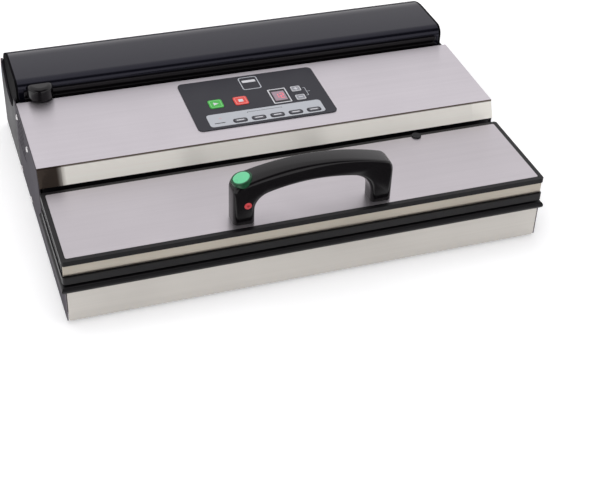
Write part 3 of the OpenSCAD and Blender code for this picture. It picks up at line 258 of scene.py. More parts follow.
# %% [markdown]
# ## Brushed stainless steel
# The big sheets are stainless steel, brushed with an abrasive belt along the machine's width. The
# belt leaves thousands of fine parallel scratches, which stretch each reflection across the grain and
# leave faint streaks of lighter and darker metal. A real scratch is about 0.05 mm wide, too fine to
# show here, so the grain is drawn 0.7 mm wide and 90 mm long, with a coarser layer of streaks under
# it. The stretch itself is the shader's anisotropy, which follows a UV map that each steel piece gets.
# The leaning front bends back a little towards its ends, and its left end has a painted dark
# reflection.

# %% Brushed stainless steel
HALF_W, BENT_FROM = 246, 222
GRAIN_W, GRAIN_L, STREAK = 0.7, 90, 0.0264
SATIN = 0.4


def brushed_steel(name, colour, along, roughness, stretch=0.8, bent_ends=0.0):
    """Steel with its grain along x or y: noise squeezed across the grain feeds colour and gloss."""
    made, tree, body = material(name, colour, Metallic=1.0, Roughness=roughness, Anisotropic=stretch)
    across, length = 1 / (GRAIN_W * MM), 1 / (GRAIN_L * MM)
    scale = (length, across, across) if along == "x" else (across, length, across)
    place = add(tree, "ShaderNodeTexCoord")
    grain_at = add(tree, "ShaderNodeMapping", {"Vector": place.outputs["Object"], "Scale": scale})
    grain = add(tree, "ShaderNodeTexNoise", {"Vector": grain_at, "Scale": 1, "Detail": 3})
    wide_at = add(tree, "ShaderNodeMapping", {"Vector": place.outputs["Object"],
                                              "Scale": [s / 6 for s in scale]})
    wide = add(tree, "ShaderNodeTexNoise", {"Vector": wide_at, "Scale": 1, "Detail": 1})
    smudge = add(tree, "ShaderNodeTexNoise", {"Vector": place.outputs["Object"],
                                              "Scale": 1 / (70 * MM), "Detail": 2})
    both = add(tree, "ShaderNodeMath", {0: grain, 1: wide}, operation="ADD")
    shade = add(tree, "ShaderNodeMapRange", {0: both, 1: 0.6, 2: 1.4})
    dark, bright = shades(colour, 1 - STREAK, 1 + STREAK)
    tint = add(tree, "ShaderNodeMix", {0: shade, 6: dark, 7: bright}, data_type="RGBA")
    rough = add(tree, "ShaderNodeMapRange", {0: smudge, 1: 0.3, 2: 0.7,
                                             3: roughness - 0.03, 4: roughness + 0.04})
    relief = add(tree, "ShaderNodeBump", {"Height": grain, "Strength": 0.15, "Distance": 0.04 * MM})
    # Bent ends: a bump turns them back, and the left end gets a painted dark reflection
    if bent_ends:
        apart = add(tree, "ShaderNodeSeparateXYZ", {0: place.outputs["Object"]})
        outwards = add(tree, "ShaderNodeMath", {0: apart.outputs["X"]}, operation="ABSOLUTE")
        drop = add(tree, "ShaderNodeMapRange", {
            0: outwards, 1: BENT_FROM * MM, 2: HALF_W * MM,
            3: 0, 4: -bent_ends * (HALF_W - BENT_FROM) * MM})
        bend = add(tree, "ShaderNodeBump", {"Height": drop, "Strength": 1, "Distance": 1})
        tree.links.new(bend.outputs[0], relief.inputs["Normal"])
        # The satin front mirrors only in part, and in full at its left end, which also gets a painted
        # dark reflection
        painted_reflection = add(tree, "ShaderNodeMapRange", {0: apart.outputs["X"], 1: -(BENT_FROM - 4) * MM,
                                                   2: -(BENT_FROM + 5) * MM})
        shine = add(tree, "ShaderNodeMapRange", {0: painted_reflection, 3: SATIN, 4: 1})
        feed(body, Metallic=shine)
        # Painted dark reflection: the left end's colour turns dark brown-grey
        tint = add(tree, "ShaderNodeMix", {0: painted_reflection, 6: tint.outputs[2],
                                           7: linear("#7A6E64")}, data_type="RGBA")
    across_grain = add(tree, "ShaderNodeTangent", direction_type="UV_MAP", uv_map="grain")
    feed(body, Base_Color=tint.outputs[2], Roughness=rough, Normal=relief, Tangent=across_grain)
    return made


panel_steel = brushed_steel("stainless_brushed_panel", "#DED9DE", "x", 0.34)
lid_steel = brushed_steel("stainless_brushed_lid", "#D4CFD3", "x", 0.34)
# The leaning front is a lighter copy of the same steel, a painted highlight for the light it faces
lit_fold_steel = brushed_steel("stainless_brushed_fold_painted_light", "#FFFCF3", "x", 0.36, stretch=0.95,
                           bent_ends=0.24)
base_steel = brushed_steel("stainless_brushed_base", "#CBC7C1", "x", 0.30)
trim_steel = brushed_steel("stainless_brushed_trim", "#D0C8BA", "x", 0.30)
side_steel = brushed_steel("stainless_brushed_side", "#6E6A6E", "y", 0.38)
# The side plates are a darker steel, and a grey tint on their gloss dims them at a flat angle
shader_of(side_steel).inputs["Specular Tint"].default_value = linear("#9E9EA2")
print("steels:", [m.name for m in bpy.data.materials if m.name.startswith("stainless")])

# %% [markdown]
# ## Moulded plastics and rubber
# Most black parts are ABS, injection moulded. A spark-eroded mould leaves a fine leathery texture on
# the lid and the deck; the handle and the cutter come from a polished mould and are glossier. Each
# gets a bump of its own grain size and a slow change of gloss, as handled plastic has.

# %% Moulded plastic
def moulded(name, colour, roughness, grain_mm, relief_mm, vary=0.06, **shader):
    """Plastic or rubber with a fine even grain and a little unevenness of gloss and colour."""
    made, tree, body = material(name, colour, Roughness=roughness, **shader)
    place = add(tree, "ShaderNodeTexCoord")
    grain = add(tree, "ShaderNodeTexNoise", {"Vector": place.outputs["Object"],
                                             "Scale": 1 / (grain_mm * MM), "Detail": 2})
    slow = add(tree, "ShaderNodeTexNoise", {"Vector": place.outputs["Object"],
                                            "Scale": 1 / (40 * MM), "Detail": 3})
    low, high = shades(colour, 1 - 2 * vary, 1 + 2 * vary)
    tint = add(tree, "ShaderNodeMix", {0: slow, 6: low, 7: high}, data_type="RGBA")
    rough = add(tree, "ShaderNodeMapRange", {0: slow, 1: 0.3, 2: 0.7,
                                             3: max(0.05, roughness - 0.04), 4: roughness + 0.04})
    relief = add(tree, "ShaderNodeBump", {"Height": grain, "Strength": 0.35,
                                          "Distance": relief_mm * MM})
    feed(body, Base_Color=tint.outputs[2], Roughness=rough, Normal=relief)
    return made


abs_black = moulded("abs_black_textured", "#0C0B0D", 0.4, 0.6, 0.02, IOR=1.38)
abs_gloss = moulded("abs_black_polished", "#0C0A0C", 0.15, 1.2, 0.004, IOR=1.46)
matt_black = moulded("polycarbonate_black_matt", "#08080A", 0.75, 0.5, 0.03, IOR=1.22,
                     Specular_IOR_Level=0.25)
abs_grey = moulded("abs_grey_satin", "#242226", 0.5, 0.8, 0.02, IOR=1.38)
abs_pan = moulded("polypropylene_black", "#1A181C", 0.55, 0.8, 0.04)
nylon_grey = moulded("nylon_glass_filled", "#3F4147", 0.5, 0.5, 0.04)
rubber = moulded("rubber_black", "#1E1E20", 0.75, 0.5, 0.04)
foam = moulded("silicone_foam", "#262428", 0.85, 0.35, 0.12)
silicone = moulded("silicone_red_brown", "#A8452F", 0.6, 0.5, 0.03)
valve_plastic = moulded("polyamide_blue_grey", "#5B6470", 0.5, 0.6, 0.03)
ivory = moulded("urea_ivory", "#DAD6CC", 0.4, 0.8, 0.02)
tube_clear = moulded("silicone_tube_milky", "#DAD6CA", 0.35, 1.0, 0.01)
key_green, key_red, key_white, key_grey, line_green, line_red = (
    moulded("polyester_" + ink, colour, 0.38, 0.5, 0.01) for ink, colour in (
        ("print_green", "#43B446"), ("print_red", "#E0473F"), ("print_white", "#C9C9CD"),
        ("print_grey", "#5C5C63"), ("line_green", "#7ED080"), ("line_red", "#F08A84")))
button_green = moulded("abs_mint_polished", "#6BD09A", 0.28, 1.5, 0.004)
ring_green = moulded("abs_green_dark", "#13492C", 0.2, 1.5, 0.004)
rocker_red = moulded("abs_red_polished", "#B8302A", 0.25, 1.5, 0.004)
print("plastics:", len(bpy.data.materials))

# %% [markdown]
# ## Smoke polycarbonate
# The roll cover is smoke-dark polycarbonate, extruded, with a polished face. It shows a deep, slightly
# blue gloss with long soft waves, and its tint hides the inside. Clear plastic with a dark absorbing
# body could make this, but the tint is so strong that a dark body with a trace of transmission does.

# %% Smoke polycarbonate
smoke, tree, body = material("polycarbonate_smoke", "#0E0E15", Roughness=0.12, IOR=1.5,
                             Specular_Tint=linear("#DCDCF2"), Transmission_Weight=0.1)
place = add(tree, "ShaderNodeTexCoord")
waves = add(tree, "ShaderNodeTexNoise", {"Vector": place.outputs["Object"], "Scale": 1 / (60 * MM),
                                         "Detail": 1})
relief = add(tree, "ShaderNodeBump", {"Height": waves, "Strength": 0.1, "Distance": 0.1 * MM})
haze = add(tree, "ShaderNodeMapRange", {0: waves, 1: 0.3, 2: 0.7, 3: 0.1, 4: 0.16})
feed(body, Normal=relief, Roughness=haze)
print("smoke cover done")

# %% [markdown]
# ## Small metals
# The sealing bar is extruded aluminium, the sealing wire a flat strip of nickel-chromium, the screws
# and hinge pins nickel-plated steel, the motor's can zinc-plated. Each is one metal with a grain as
# fine as its making leaves, so one function does for all, with the grain's length and width.

# %% Small metals
def bare_metal(name, colour, roughness, grain_mm, relief_mm=0.01):
    """Metal whose grain has its own size along x, y and z, in millimetres."""
    made, tree, body = material(name, colour, Metallic=1.0, Roughness=roughness)
    place = add(tree, "ShaderNodeTexCoord")
    grain_at = add(tree, "ShaderNodeMapping", {"Vector": place.outputs["Object"],
                                               "Scale": [1 / (g * MM) for g in grain_mm]})
    grain = add(tree, "ShaderNodeTexNoise", {"Vector": grain_at, "Scale": 1, "Detail": 2})
    rough = add(tree, "ShaderNodeMapRange", {0: grain, 1: 0.3, 2: 0.7,
                                             3: roughness - 0.06, 4: roughness + 0.08})
    low, high = shades(colour, 0.88, 1.1)
    tint = add(tree, "ShaderNodeMix", {0: grain, 6: low, 7: high}, data_type="RGBA")
    relief = add(tree, "ShaderNodeBump", {"Height": grain, "Strength": 0.3,
                                          "Distance": relief_mm * MM})
    feed(body, Base_Color=tint.outputs[2], Roughness=rough, Normal=relief)
    return made


nickel = bare_metal("nickel_plate_bright", "#DCDADA", 0.22, (1.5, 1.5, 1.5), 0.005)
bracket_steel = bare_metal("steel_sheet_pressed", "#A8A4A6", 0.38, (0.6, 30, 30))
extruded = bare_metal("aluminium_extruded", "#A9A7A4", 0.34, (60, 0.5, 0.5))
heater = bare_metal("nickel_chromium_strip", "#B8A884", 0.35, (40, 0.4, 0.4))
zinc = bare_metal("zinc_plate_passivated", "#A8A9AA", 0.35, (6, 6, 6))
# A dark steel for the housing's turned-in ends, a painted shade for the inside of the housing
painted_shade_steel = bare_metal("steel_painted_shade", "#2A292B", 0.6, (0.8, 0.8, 0.8), 0.02)
laminated = bare_metal("silicon_steel_varnished", "#77685A", 0.5, (40, 0.7, 40), 0.06)
print("small metals done")

# %% [markdown]
# ## Circuit board and coated cloth
# A circuit board is glass-epoxy under green solder mask, with fine tracks that show as darker and
# lighter lines. The tape over the sealing wire is glass cloth coated with PTFE, a plain weave of
# threads about 0.4 mm apart, drawn here at 0.8 mm.

# %% Board and tape
board, tree, body = material("solder_mask_green", "#2C6642", Roughness=0.35)
place = add(tree, "ShaderNodeTexCoord")
tracks = add(tree, "ShaderNodeTexVoronoi", {"Vector": place.outputs["Object"], "Scale": 1 / (4 * MM)},
             feature="DISTANCE_TO_EDGE", distance="CHEBYCHEV")
lines = add(tree, "ShaderNodeMapRange", {0: tracks, 1: 0.04, 2: 0.10, 3: 1, 4: 0})
tint = add(tree, "ShaderNodeMix", {0: lines, 6: linear("#245A38"), 7: linear("#4B9161")},
           data_type="RGBA")
feed(body, Base_Color=tint.outputs[2])

tape, tree, body = material("ptfe_glass_cloth", "#A88C5E", Roughness=0.5)
place = add(tree, "ShaderNodeTexCoord")
THREADS = 1 / (0.8 * MM) / 6.28
warp, weft = (add(tree, "ShaderNodeTexWave", {"Vector": place.outputs["Object"], "Scale": THREADS},
                  bands_direction=direction) for direction in "XY")
weave = add(tree, "ShaderNodeMath", {0: warp.outputs[1], 1: weft.outputs[1]}, operation="MULTIPLY")
tint = add(tree, "ShaderNodeMix", {0: weave, 6: linear("#93774C"), 7: linear("#B89C6C")},
           data_type="RGBA")
relief = add(tree, "ShaderNodeBump", {"Height": weave, "Strength": 0.5, "Distance": 0.05 * MM})
feed(body, Base_Color=tint.outputs[2], Normal=relief)
print("board and tape done:", len(bpy.data.materials), "materials so far")

# %% [markdown]
# ## Overlay film, display and lamp
# The key panel is matt polyester film printed from behind, in a dark blue-grey with a pebbled face.
# The display is a smoked acrylic window. The lamp is a red diffusing lens, brighter at its rim than
# in its middle, where the diode's dark chip shows through.

# %% Overlay, display, lamp
film = moulded("polyester_film_matt", "#25252D", 0.42, 0.5, 0.01, vary=0.03, IOR=1.4)
print_silver, print_white, print_dark, print_pink, print_grey = (
    moulded("screen_print_" + ink, colour, gloss, 0.5, 0.01, vary=0.02) for ink, colour, gloss in (
        ("silver", "#B9BCC2", 0.42), ("white", "#D6D6DA", 0.4), ("dark", "#1C1B20", 0.45),
        ("pale_red", "#C9A6AA", 0.42), ("grey", "#8E8F96", 0.42)))
acrylic, tree, body = material("acrylic_smoked", "#15131A", Roughness=0.12, IOR=1.49)
place = add(tree, "ShaderNodeTexCoord")
dust = add(tree, "ShaderNodeTexNoise", {"Vector": place.outputs["Object"], "Scale": 1 / (3 * MM)})
haze = add(tree, "ShaderNodeMapRange", {0: dust, 1: 0.3, 2: 0.7, 3: 0.09, 4: 0.16})
feed(body, Roughness=haze)


def lit(name, colour, glow, strength, roughness):
    """A diffusing lens: coloured, slightly mottled, and glowing a little."""
    made, tree, body = material(name, colour, Roughness=roughness, Emission_Strength=strength)
    place = add(tree, "ShaderNodeTexCoord")
    mottle = add(tree, "ShaderNodeTexNoise", {"Vector": place.outputs["Object"],
                                              "Scale": 1 / (1.5 * MM)})
    low, high = shades(glow, 0.75, 1)
    tint = add(tree, "ShaderNodeMix", {0: mottle, 6: low, 7: high}, data_type="RGBA")
    feed(body, Emission_Color=tint.outputs[2])
    return made


lens_red = lit("acrylic_red_diffuser", "#B8383A", "#C8443F", 0.3, 0.3)
display_face = lit("led_face_pink_grey", "#8E7C86", "#9C8490", 0.3, 0.5)
segment_red = lit("led_segment_red", "#D65A6A", "#E8707C", 0.6, 0.5)
print("film, display and lamp done")

# %% [markdown]
# ## Every solid gets its finish
# A table says which finish each solid wears. The solids keep their shape.

# %% Finishes for the solids
finishes = {
    panel_steel: "top_housing", base_steel: "front_panel", trim_steel: "lid_front_trim",
    lid_steel: "lid_top_plate", side_steel: "side_panels", bracket_steel: "lid_hinge_brackets",
    abs_black: "deck lid_frame lid_under_panel roll_tub tub_ends rear_panel switch_housing mains_inlet",
    matt_black: "cover_ends",
    abs_gloss: "handle cutter_knob cutter_rail", ring_green: "button_bezel",
    abs_pan: "bottom_pan", abs_grey: "end_caps",
    nylon_grey: "suction_nozzle pump_head start_switch cutter_carriage",
    rubber: "feet cable_grommet", foam: "lower_gasket upper_gasket", silicone: "pressure_strip",
    valve_plastic: "release_valve", ivory: "pressure_switch", tube_clear: "suction_hose",
    nickel: "hinge_pins side_screws bottom_screws handle_screws cutter_blade",
    extruded: "sealing_bar", heater: "heating_wire", tape: "ptfe_tape", zinc: "pump_motor",
    laminated: "transformer", board: "control_board key_board", film: "control_overlay",
    acrylic: "display_window", smoke: "roll_cover", lens_red: "seal_lamp",
    button_green: "start_button", key_green: "key_start", key_red: "key_stop",
    rocker_red: "power_rocker", key_white: "key_plus key_minus",
    key_grey: "key_mode_1 key_mode_2 key_mode_3 key_mode_4 key_mode_5",
}
dressed = set()
for finish, names in finishes.items():
    for name in names.split():
        for place in nodes[name].material_slots:
            place.material = finish
        dressed.add(name)
print("dressed", len(dressed), "of", len(nodes), sorted(set(nodes) - dressed))

# %% [markdown]
# ## Soft edges on sheet and mouldings
# A folded steel sheet has a bend radius, and a mould's edges are rounded so that the plastic fills
# them. These thin rounds catch the light as fine bright lines, and they tell the eye how a thing was
# made. A solid's triangles are copied into a fresh mesh, merged and given a bevel modifier. Its
# hardened normals keep the flats flat, so that only the round itself takes the turn of the light.

# %% Eased copies
def plain_copy(name, clean=0.002):
    """A new object with a solid's shape, its corners merged and its flat faces made whole."""
    cage = bmesh.new()
    cage.from_mesh(nodes[name].data)
    bmesh.ops.remove_doubles(cage, verts=cage.verts, dist=clean * MM)
    bmesh.ops.dissolve_limit(cage, angle_limit=math.radians(0.3), verts=cage.verts, edges=cage.edges)
    cage.verts.index_update()
    shape = bpy.data.meshes.new(name + "_eased")
    shape.from_pydata([v.co[:] for v in cage.verts], [],
                      [[v.index for v in face.verts] for face in cage.faces])
    cage.free()
    shape.materials.append(nodes[name].material_slots[0].material)
    piece = bpy.data.objects.new(shape.name, shape)
    scene.collection.objects.link(piece)
    return piece


def settled(piece):
    """The piece as a plain mesh, with its modifiers' work in it."""
    bpy.context.view_layer.update()
    shape = bpy.data.meshes.new_from_object(piece.evaluated_get(bpy.context.evaluated_depsgraph_get()))
    piece.modifiers.clear()
    piece.data = shape
    shape.name = piece.name
    return piece


def eased(name, width, steps=2, angle=32):
    """A bevelled copy of a solid that stands for it; width is in millimetres."""
    piece = plain_copy(name)
    piece.data.shade_smooth()
    soft = piece.modifiers.new("soft_edges", "BEVEL")
    soft.width = width * MM
    soft.segments = steps
    soft.limit_method = "ANGLE"
    soft.angle_limit = math.radians(angle)
    soft.harden_normals = True
    settled(piece)
    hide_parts(name)
    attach(piece, body_of[name])
    return piece


widths = {"top_housing": 0.9, "front_panel": 0.5, "lid_front_trim": 0.3, "lid_top_plate": 0.35,
          "lid_frame": 0.7, "deck": 0.5, "cutter_knob": 1.2, "cutter_rail": 0.6, "roll_cover": 0.8,
          "cover_ends": 0.6, "bottom_pan": 0.5, "rear_panel": 0.5, "mains_inlet": 0.4,
          "switch_housing": 0.4, "power_rocker": 0.4, "end_caps": 0.4, "side_panels": 0.3}
pieces = {name: eased(name, width) for name, width in widths.items()}
for name, piece in pieces.items():
    print(name, len(piece.data.polygons), "faces")

# %% [markdown]
# ## The handle
# The handle is one glossy moulding. It could be modelled anew as a subdivision surface, but its solid
# already has the lofted form, so a copy only shades the facets as one curve and keeps the holes' rims
# sharp. The start button, its ring and the lamp's lens are round and get the same.

# %% Handle
def smoothed(name, angle):
    """A copy whose facets shade as one curve, with edges above the angle kept crisp."""
    piece = plain_copy(name, clean=0.01)
    piece.data.shade_smooth()
    piece.data.set_sharp_from_angle(angle=math.radians(angle))
    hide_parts(name)
    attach(piece, body_of[name])
    return piece


for name, angle in {"handle": 35, "button_bezel": 40, "start_button": 40, "seal_lamp": 40}.items():
    pieces[name] = smoothed(name, angle)
    print(name, len(pieces[name].data.polygons), "faces")

# %% [markdown]
# ## The lamp's chip
# A small lamp glows from a chip behind its lens, so a deeper red shows in the middle of the pale
# lens. A second piece inside the lens could show it, but a shade that grows with the distance from
# the lens's tip does the same without one.

# %% Chip behind the lens
points = [v.co for v in pieces["seal_lamp"].data.vertices]
tip = [(min(c) + max(c)) / 2 for c in zip(*points)]
tip[1] = min(point.y for point in points)
glass = lens_red.node_tree
place = add(glass, "ShaderNodeTexCoord")
off_tip = add(glass, "ShaderNodeVectorMath", {0: place.outputs["Object"], 1: tip}, operation="DISTANCE")
rim = add(glass, "ShaderNodeMapRange", {0: off_tip.outputs["Value"], 1: 0.9 * MM, 2: 2.0 * MM})
tint = add(glass, "ShaderNodeMix", {0: rim, 6: linear("#8E1A20"), 7: linear("#B83C40")},
           data_type="RGBA")
feed(shader_of(lens_red), Base_Color=tint.outputs[2], Emission_Color=tint.outputs[2])
print("chip behind", [round(c / MM, 1) for c in tip])

# %% [markdown]
# ## The grain's direction
# The steel's shader stretches its reflections along a tangent, and a tangent comes from a UV map. The
# scratches run along the sheet, so a reflection is stretched across them: each steel piece gets a map
# called grain, whose U runs across the brushing, with a share of the height so that upright faces get
# it too. Unwrapping each sheet would give the same directions with more work.

# %% UV map for the brushed grain
X, Y, Z = 0, 1, 2
FALL = 0.83
steels = {"top_housing": X, "front_panel": X, "lid_front_trim": X, "lid_top_plate": X, "side_panels": Y}
for name, axis in steels.items():
    mesh = pieces[name].data
    grain = mesh.uv_layers.new(name="grain")
    for loop in mesh.loops:
        place = mesh.vertices[loop.vertex_index].co
        grain.data[loop.index].uv = (place[Y - axis] + FALL * place[Z], place[axis])
    print(name, "grain along", "xy"[axis])

# %% [markdown]
# ## The housing's front
# The top housing is one bent sheet. Its leaning front wears a lighter copy of the steel, a painted
# highlight for the light that it faces, with a darker line just under the fold. Behind the vents its
# turned-in ends wear a dark steel, a painted shade for the inside of the housing. These could be
# pieces of their own, but the faces are easily picked by where they point, and stay one sheet.

# %% Finishes of the housing's faces
housing = pieces["top_housing"].data
housing.materials.append(lit_fold_steel)
leaning = [face for face in housing.polygons if face.normal.y < -0.6 and face.normal.z > 0.1]
for face in leaning:
    face.material_index = 1
front = max(leaning, key=lambda face: face.area)
fold_top = max(housing.vertices[v].co.z for v in front.vertices)
print("leaning faces:", len(leaning), "up to", round(fold_top / MM, 1), "mm")

LINE_FROM, LINE_FULL = 2.2, 1.2
fold_tree = lit_fold_steel.node_tree
brushed = shader_of(lit_fold_steel).inputs["Base Color"].links[0].from_socket
place = add(fold_tree, "ShaderNodeTexCoord")
height = add(fold_tree, "ShaderNodeSeparateXYZ", {0: place.outputs["Object"]})
# Just under the fold the colour darkens to a thin line
under_fold = add(fold_tree, "ShaderNodeMapRange", {
    0: height.outputs["Z"], 1: fold_top - LINE_FROM * MM, 2: fold_top - LINE_FULL * MM})
fold_line = add(fold_tree, "ShaderNodeMix", {0: under_fold, 6: brushed, 7: linear("#5E5248")},
             data_type="RGBA")
feed(shader_of(lit_fold_steel), Base_Color=fold_line.outputs[2])

SHEET_T = 0.8
# The turned-in ends get the dark steel and a grey gloss tint: painted shade for the housing's inside
housing.materials.append(painted_shade_steel)
shader_of(painted_shade_steel).inputs["Specular Tint"].default_value = linear("#8A8A8A")
for face in housing.polygons:
    if abs(face.normal.x) > 0.9 and abs(face.center.x) < (HALF_W - SHEET_T) * MM:
        face.material_index = 2

# %% [markdown]
# ## Printing on the key panel
# The symbols and fields of a key panel are screen printed on the film's back. A print has no
# thickness to speak of; here each field is a sheet 0.05 mm thick, laid on the film, so that it is real
# geometry and stays put from any side. One Geometry Nodes tree makes them all: a rounded rectangle,
# with rounded openings instanced on points where keys come through, filled and then thickened.

# %% A tree for printed fields
def group(name, sizes):
    """A Geometry Nodes tree with its named number inputs and its output."""
    tree = bpy.data.node_groups.new(name, "GeometryNodeTree")
    tree.interface.new_socket("Geometry", in_out="INPUT", socket_type="NodeSocketGeometry")
    for socket, kind in sizes.items():
        tree.interface.new_socket(socket, in_out="INPUT", socket_type="NodeSocket" + kind)
    tree.interface.new_socket("Geometry", in_out="OUTPUT", socket_type="NodeSocketGeometry")
    return tree


field_tree = group("printed_field", {"Width": "Float", "Height": "Float", "Corner": "Float",
                                     "Opening Width": "Float", "Opening Height": "Float",
                                     "Opening Corner": "Float", "Thickness": "Float",
                                     "Finish": "Material"})
given = add(field_tree, "NodeGroupInput").outputs
rounded = []
for part in ("", "Opening "):
    square = add(field_tree, "GeometryNodeCurvePrimitiveQuadrilateral",
                 {side: given[part + side] for side in ("Width", "Height")})
    rounded.append(add(field_tree, "GeometryNodeFilletCurve", {
        "Curve": square, "Radius": given[part + "Corner"], "Count": 6}, mode="POLY"))
sheet, hole = rounded
holes = add(field_tree, "GeometryNodeInstanceOnPoints", {"Points": given["Geometry"],
                                                         "Instance": hole})
real_holes = add(field_tree, "GeometryNodeRealizeInstances", {0: holes})
outline = add(field_tree, "GeometryNodeJoinGeometry")
field_tree.links.new(real_holes.outputs[0], outline.inputs[0])
field_tree.links.new(sheet.outputs[0], outline.inputs[0])
filled = add(field_tree, "GeometryNodeFillCurve", {"Curve": outline}, mode="NGONS")
thick = add(field_tree, "GeometryNodeExtrudeMesh", {"Mesh": filled,
            "Offset Scale": given["Thickness"], "Individual": False}, mode="FACES")
under = add(field_tree, "GeometryNodeFlipFaces", {"Mesh": filled})
closed = add(field_tree, "GeometryNodeJoinGeometry")
field_tree.links.new(thick.outputs["Mesh"], closed.inputs[0])
field_tree.links.new(under.outputs[0], closed.inputs[0])
whole = add(field_tree, "GeometryNodeMergeByDistance", {0: closed, "Distance": 0.001 * MM})
real = add(field_tree, "GeometryNodeRealizeInstances", {0: whole})
dress = add(field_tree, "GeometryNodeSetMaterial", {"Geometry": real, "Material": given["Finish"]})
add(field_tree, "NodeGroupOutput", {"Geometry": dress})
print("printed field tree:", len(field_tree.nodes), "nodes")

# %% Making a printed field from the tree
PANEL_Y, PANEL_Z, PANEL_SLOPE = -56.3, 93.5, math.radians(1.458)
FILM_T, INK = 0.8, 0.05


def panel_place(at, up):
    """The matrix of a place on the key panel: along it, up its slope and off its face."""
    edge = Matrix.Translation((0, PANEL_Y * MM, PANEL_Z * MM))
    there = Matrix.Translation((at[0] * MM, at[1] * MM, (FILM_T + up) * MM))
    return edge @ Matrix.Rotation(PANEL_SLOPE, 4, "X") @ there


def from_tree(name, seeds, tree, settings):
    """Runs a tree on a mesh of points, and keeps its result as a plain mesh."""
    piece = bpy.data.objects.new(name, seeds)
    scene.collection.objects.link(piece)
    maker = piece.modifiers.new("maker", "NODES")
    maker.node_group = tree
    sockets = {item.name: item.identifier for item in tree.interface.items_tree
               if item.in_out == "INPUT"}
    for socket, value in settings.items():
        maker[sockets[socket]] = value
    return settled(piece)


def field(name, at, size, corner, finish, up, holes=(), opening=(1, 1), opening_corner=0.2,
          body="base"):
    """A printed field on the key panel, in millimetres; holes are places relative to its middle."""
    settings = {"Width": size[0] * MM, "Height": size[1] * MM, "Corner": corner * MM,
                "Opening Width": opening[0] * MM, "Opening Height": opening[1] * MM,
                "Opening Corner": opening_corner * MM, "Thickness": INK * MM, "Finish": finish}
    middles = bpy.data.meshes.new(name)
    middles.from_pydata([(x * MM, y * MM, 0) for x, y in holes], [], [])
    piece = from_tree(name, middles, field_tree, settings)
    piece.data.transform(panel_place(at, up))
    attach(piece, body)
    return piece


# %% [markdown]
# ## The fields
# A silver strip carries the row of five mode keys. Each comes through its own opening, so that a
# dark line of film shows round it. A pale frame runs round the display. The place above the green and
# red keys has a plain drawing of a bag with its seal line. Each field lies at the height of what it is
# printed on: the film, the ink under it, the face of an embossed key, or the sunken display window.

# %% Printed fields
MODE_X, MODE_V = (-29, -8.7, 11.6, 31.9, 52.2), 30
STRIP, DISPLAY = (1, 35.65), (25.2, 65)
ON_FILM, ON_INK, ON_KEY, IN_WINDOW = 0.01, INK + 0.02, 0.51, -0.09
fields = [
    field("print_mode_strip", STRIP, (126, 23.3), 4, print_silver, ON_FILM,
          holes=[(x - STRIP[0], MODE_V - STRIP[1]) for x in MODE_X], opening=(15.6, 8.0),
          opening_corner=3.0),
    field("print_display_frame", DISPLAY, (20.2, 28.2), 1, print_white, IN_WINDOW, holes=[(0, 0)],
          opening=(17.6, 25.6), opening_corner=0.6),
    field("print_display_face", DISPLAY, (13.5, 17.5), 0.6, display_face, IN_WINDOW),
    field("print_bag", (1.5, 97.5), (21, 25), 3, print_silver, ON_FILM, holes=[(0, 0)],
          opening=(18.8, 22.8), opening_corner=2.2),
    field("print_bag_seal", (1.5, 101.5), (15, 4.6), 0.8, print_white, ON_FILM),
    field("print_lamp_dot", (-48.5, 38.4), (3.0, 1.4), 0.6, print_pink, ON_INK),
    field("print_lamp_bar", (-51, 30), (11.5, 1.2), 0.5, print_dark, ON_INK),
]
for piece in fields:
    print(piece.name, len(piece.data.polygons), "faces")

# %% [markdown]
# ## Faces of the keys
# The keys are embossed: each has a pale line round its edge and a symbol. The symbols are the common
# ones for start, stop, more and less. They ride on their keys, so that they go down with them.

# %% Key faces
KEYS = {"start": ((-45.5, 66), (15, 15.5), 2.5), "stop": ((-18, 65.7), (15, 15.5), 2.5),
        "plus": ((46.2, 73.5), (10.5, 9.5), 2.2), "minus": ((46.2, 56.3), (10.5, 9.5), 2.2)}
line_of = {"start": line_green, "stop": line_red, "plus": print_grey, "minus": print_grey}
for key, (at, size, corner) in KEYS.items():
    big = key in ("start", "stop")
    inset = 1.3 if big else 1.0
    outer = (size[0] - 2 * inset, size[1] - 2 * inset)
    middle = {"holes": [(0, 0)], "opening": (outer[0] - 1.6, outer[1] - 1.6), "opening_corner": 0.9}
    field("line_" + key, at, outer, corner - 0.8, line_of[key], ON_KEY, body=body_of["key_" + key],
          **(middle if big else {}))
for number, x in enumerate(MODE_X, 1):
    body = body_of["key_mode_%d" % number]
    field("rim_mode_%d" % number, (x, MODE_V), (13.4, 5.8), 2.3, print_dark, ON_KEY, holes=[(0, 0)],
          opening=(11.6, 4.2), opening_corner=1.6, body=body)
    field("bar_mode_%d" % number, (x, MODE_V), (8.2, 1.5), 0.6, print_white, ON_KEY, body=body)
print("key faces:", len(KEYS) + 2 * len(MODE_X))


# %% Symbols and digits
def printed(name, shapes, finish, at, up, body):
    """Flat shapes, each a list of corners in millimetres, as thin prisms on the key panel."""
    cage = bmesh.new()
    for corners in shapes:
        low = [cage.verts.new((x * MM, y * MM, 0)) for x, y in corners]
        high = [cage.verts.new((x * MM, y * MM, INK * MM)) for x, y in corners]
        cage.faces.new(low[::-1])
        cage.faces.new(high)
        for i in range(len(corners)):
            j = (i + 1) % len(corners)
            cage.faces.new((low[i], low[j], high[j], high[i]))
    bmesh.ops.recalc_face_normals(cage, faces=cage.faces)
    shape = bpy.data.meshes.new(name)
    cage.to_mesh(shape)
    cage.free()
    shape.materials.append(finish)
    shape.transform(panel_place(at, up))
    piece = bpy.data.objects.new(name, shape)
    scene.collection.objects.link(piece)
    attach(piece, body)
    return piece


def bar(x0, y0, x1, y1):
    """A rectangle's corners."""
    return [(x0, y0), (x1, y0), (x1, y1), (x0, y1)]


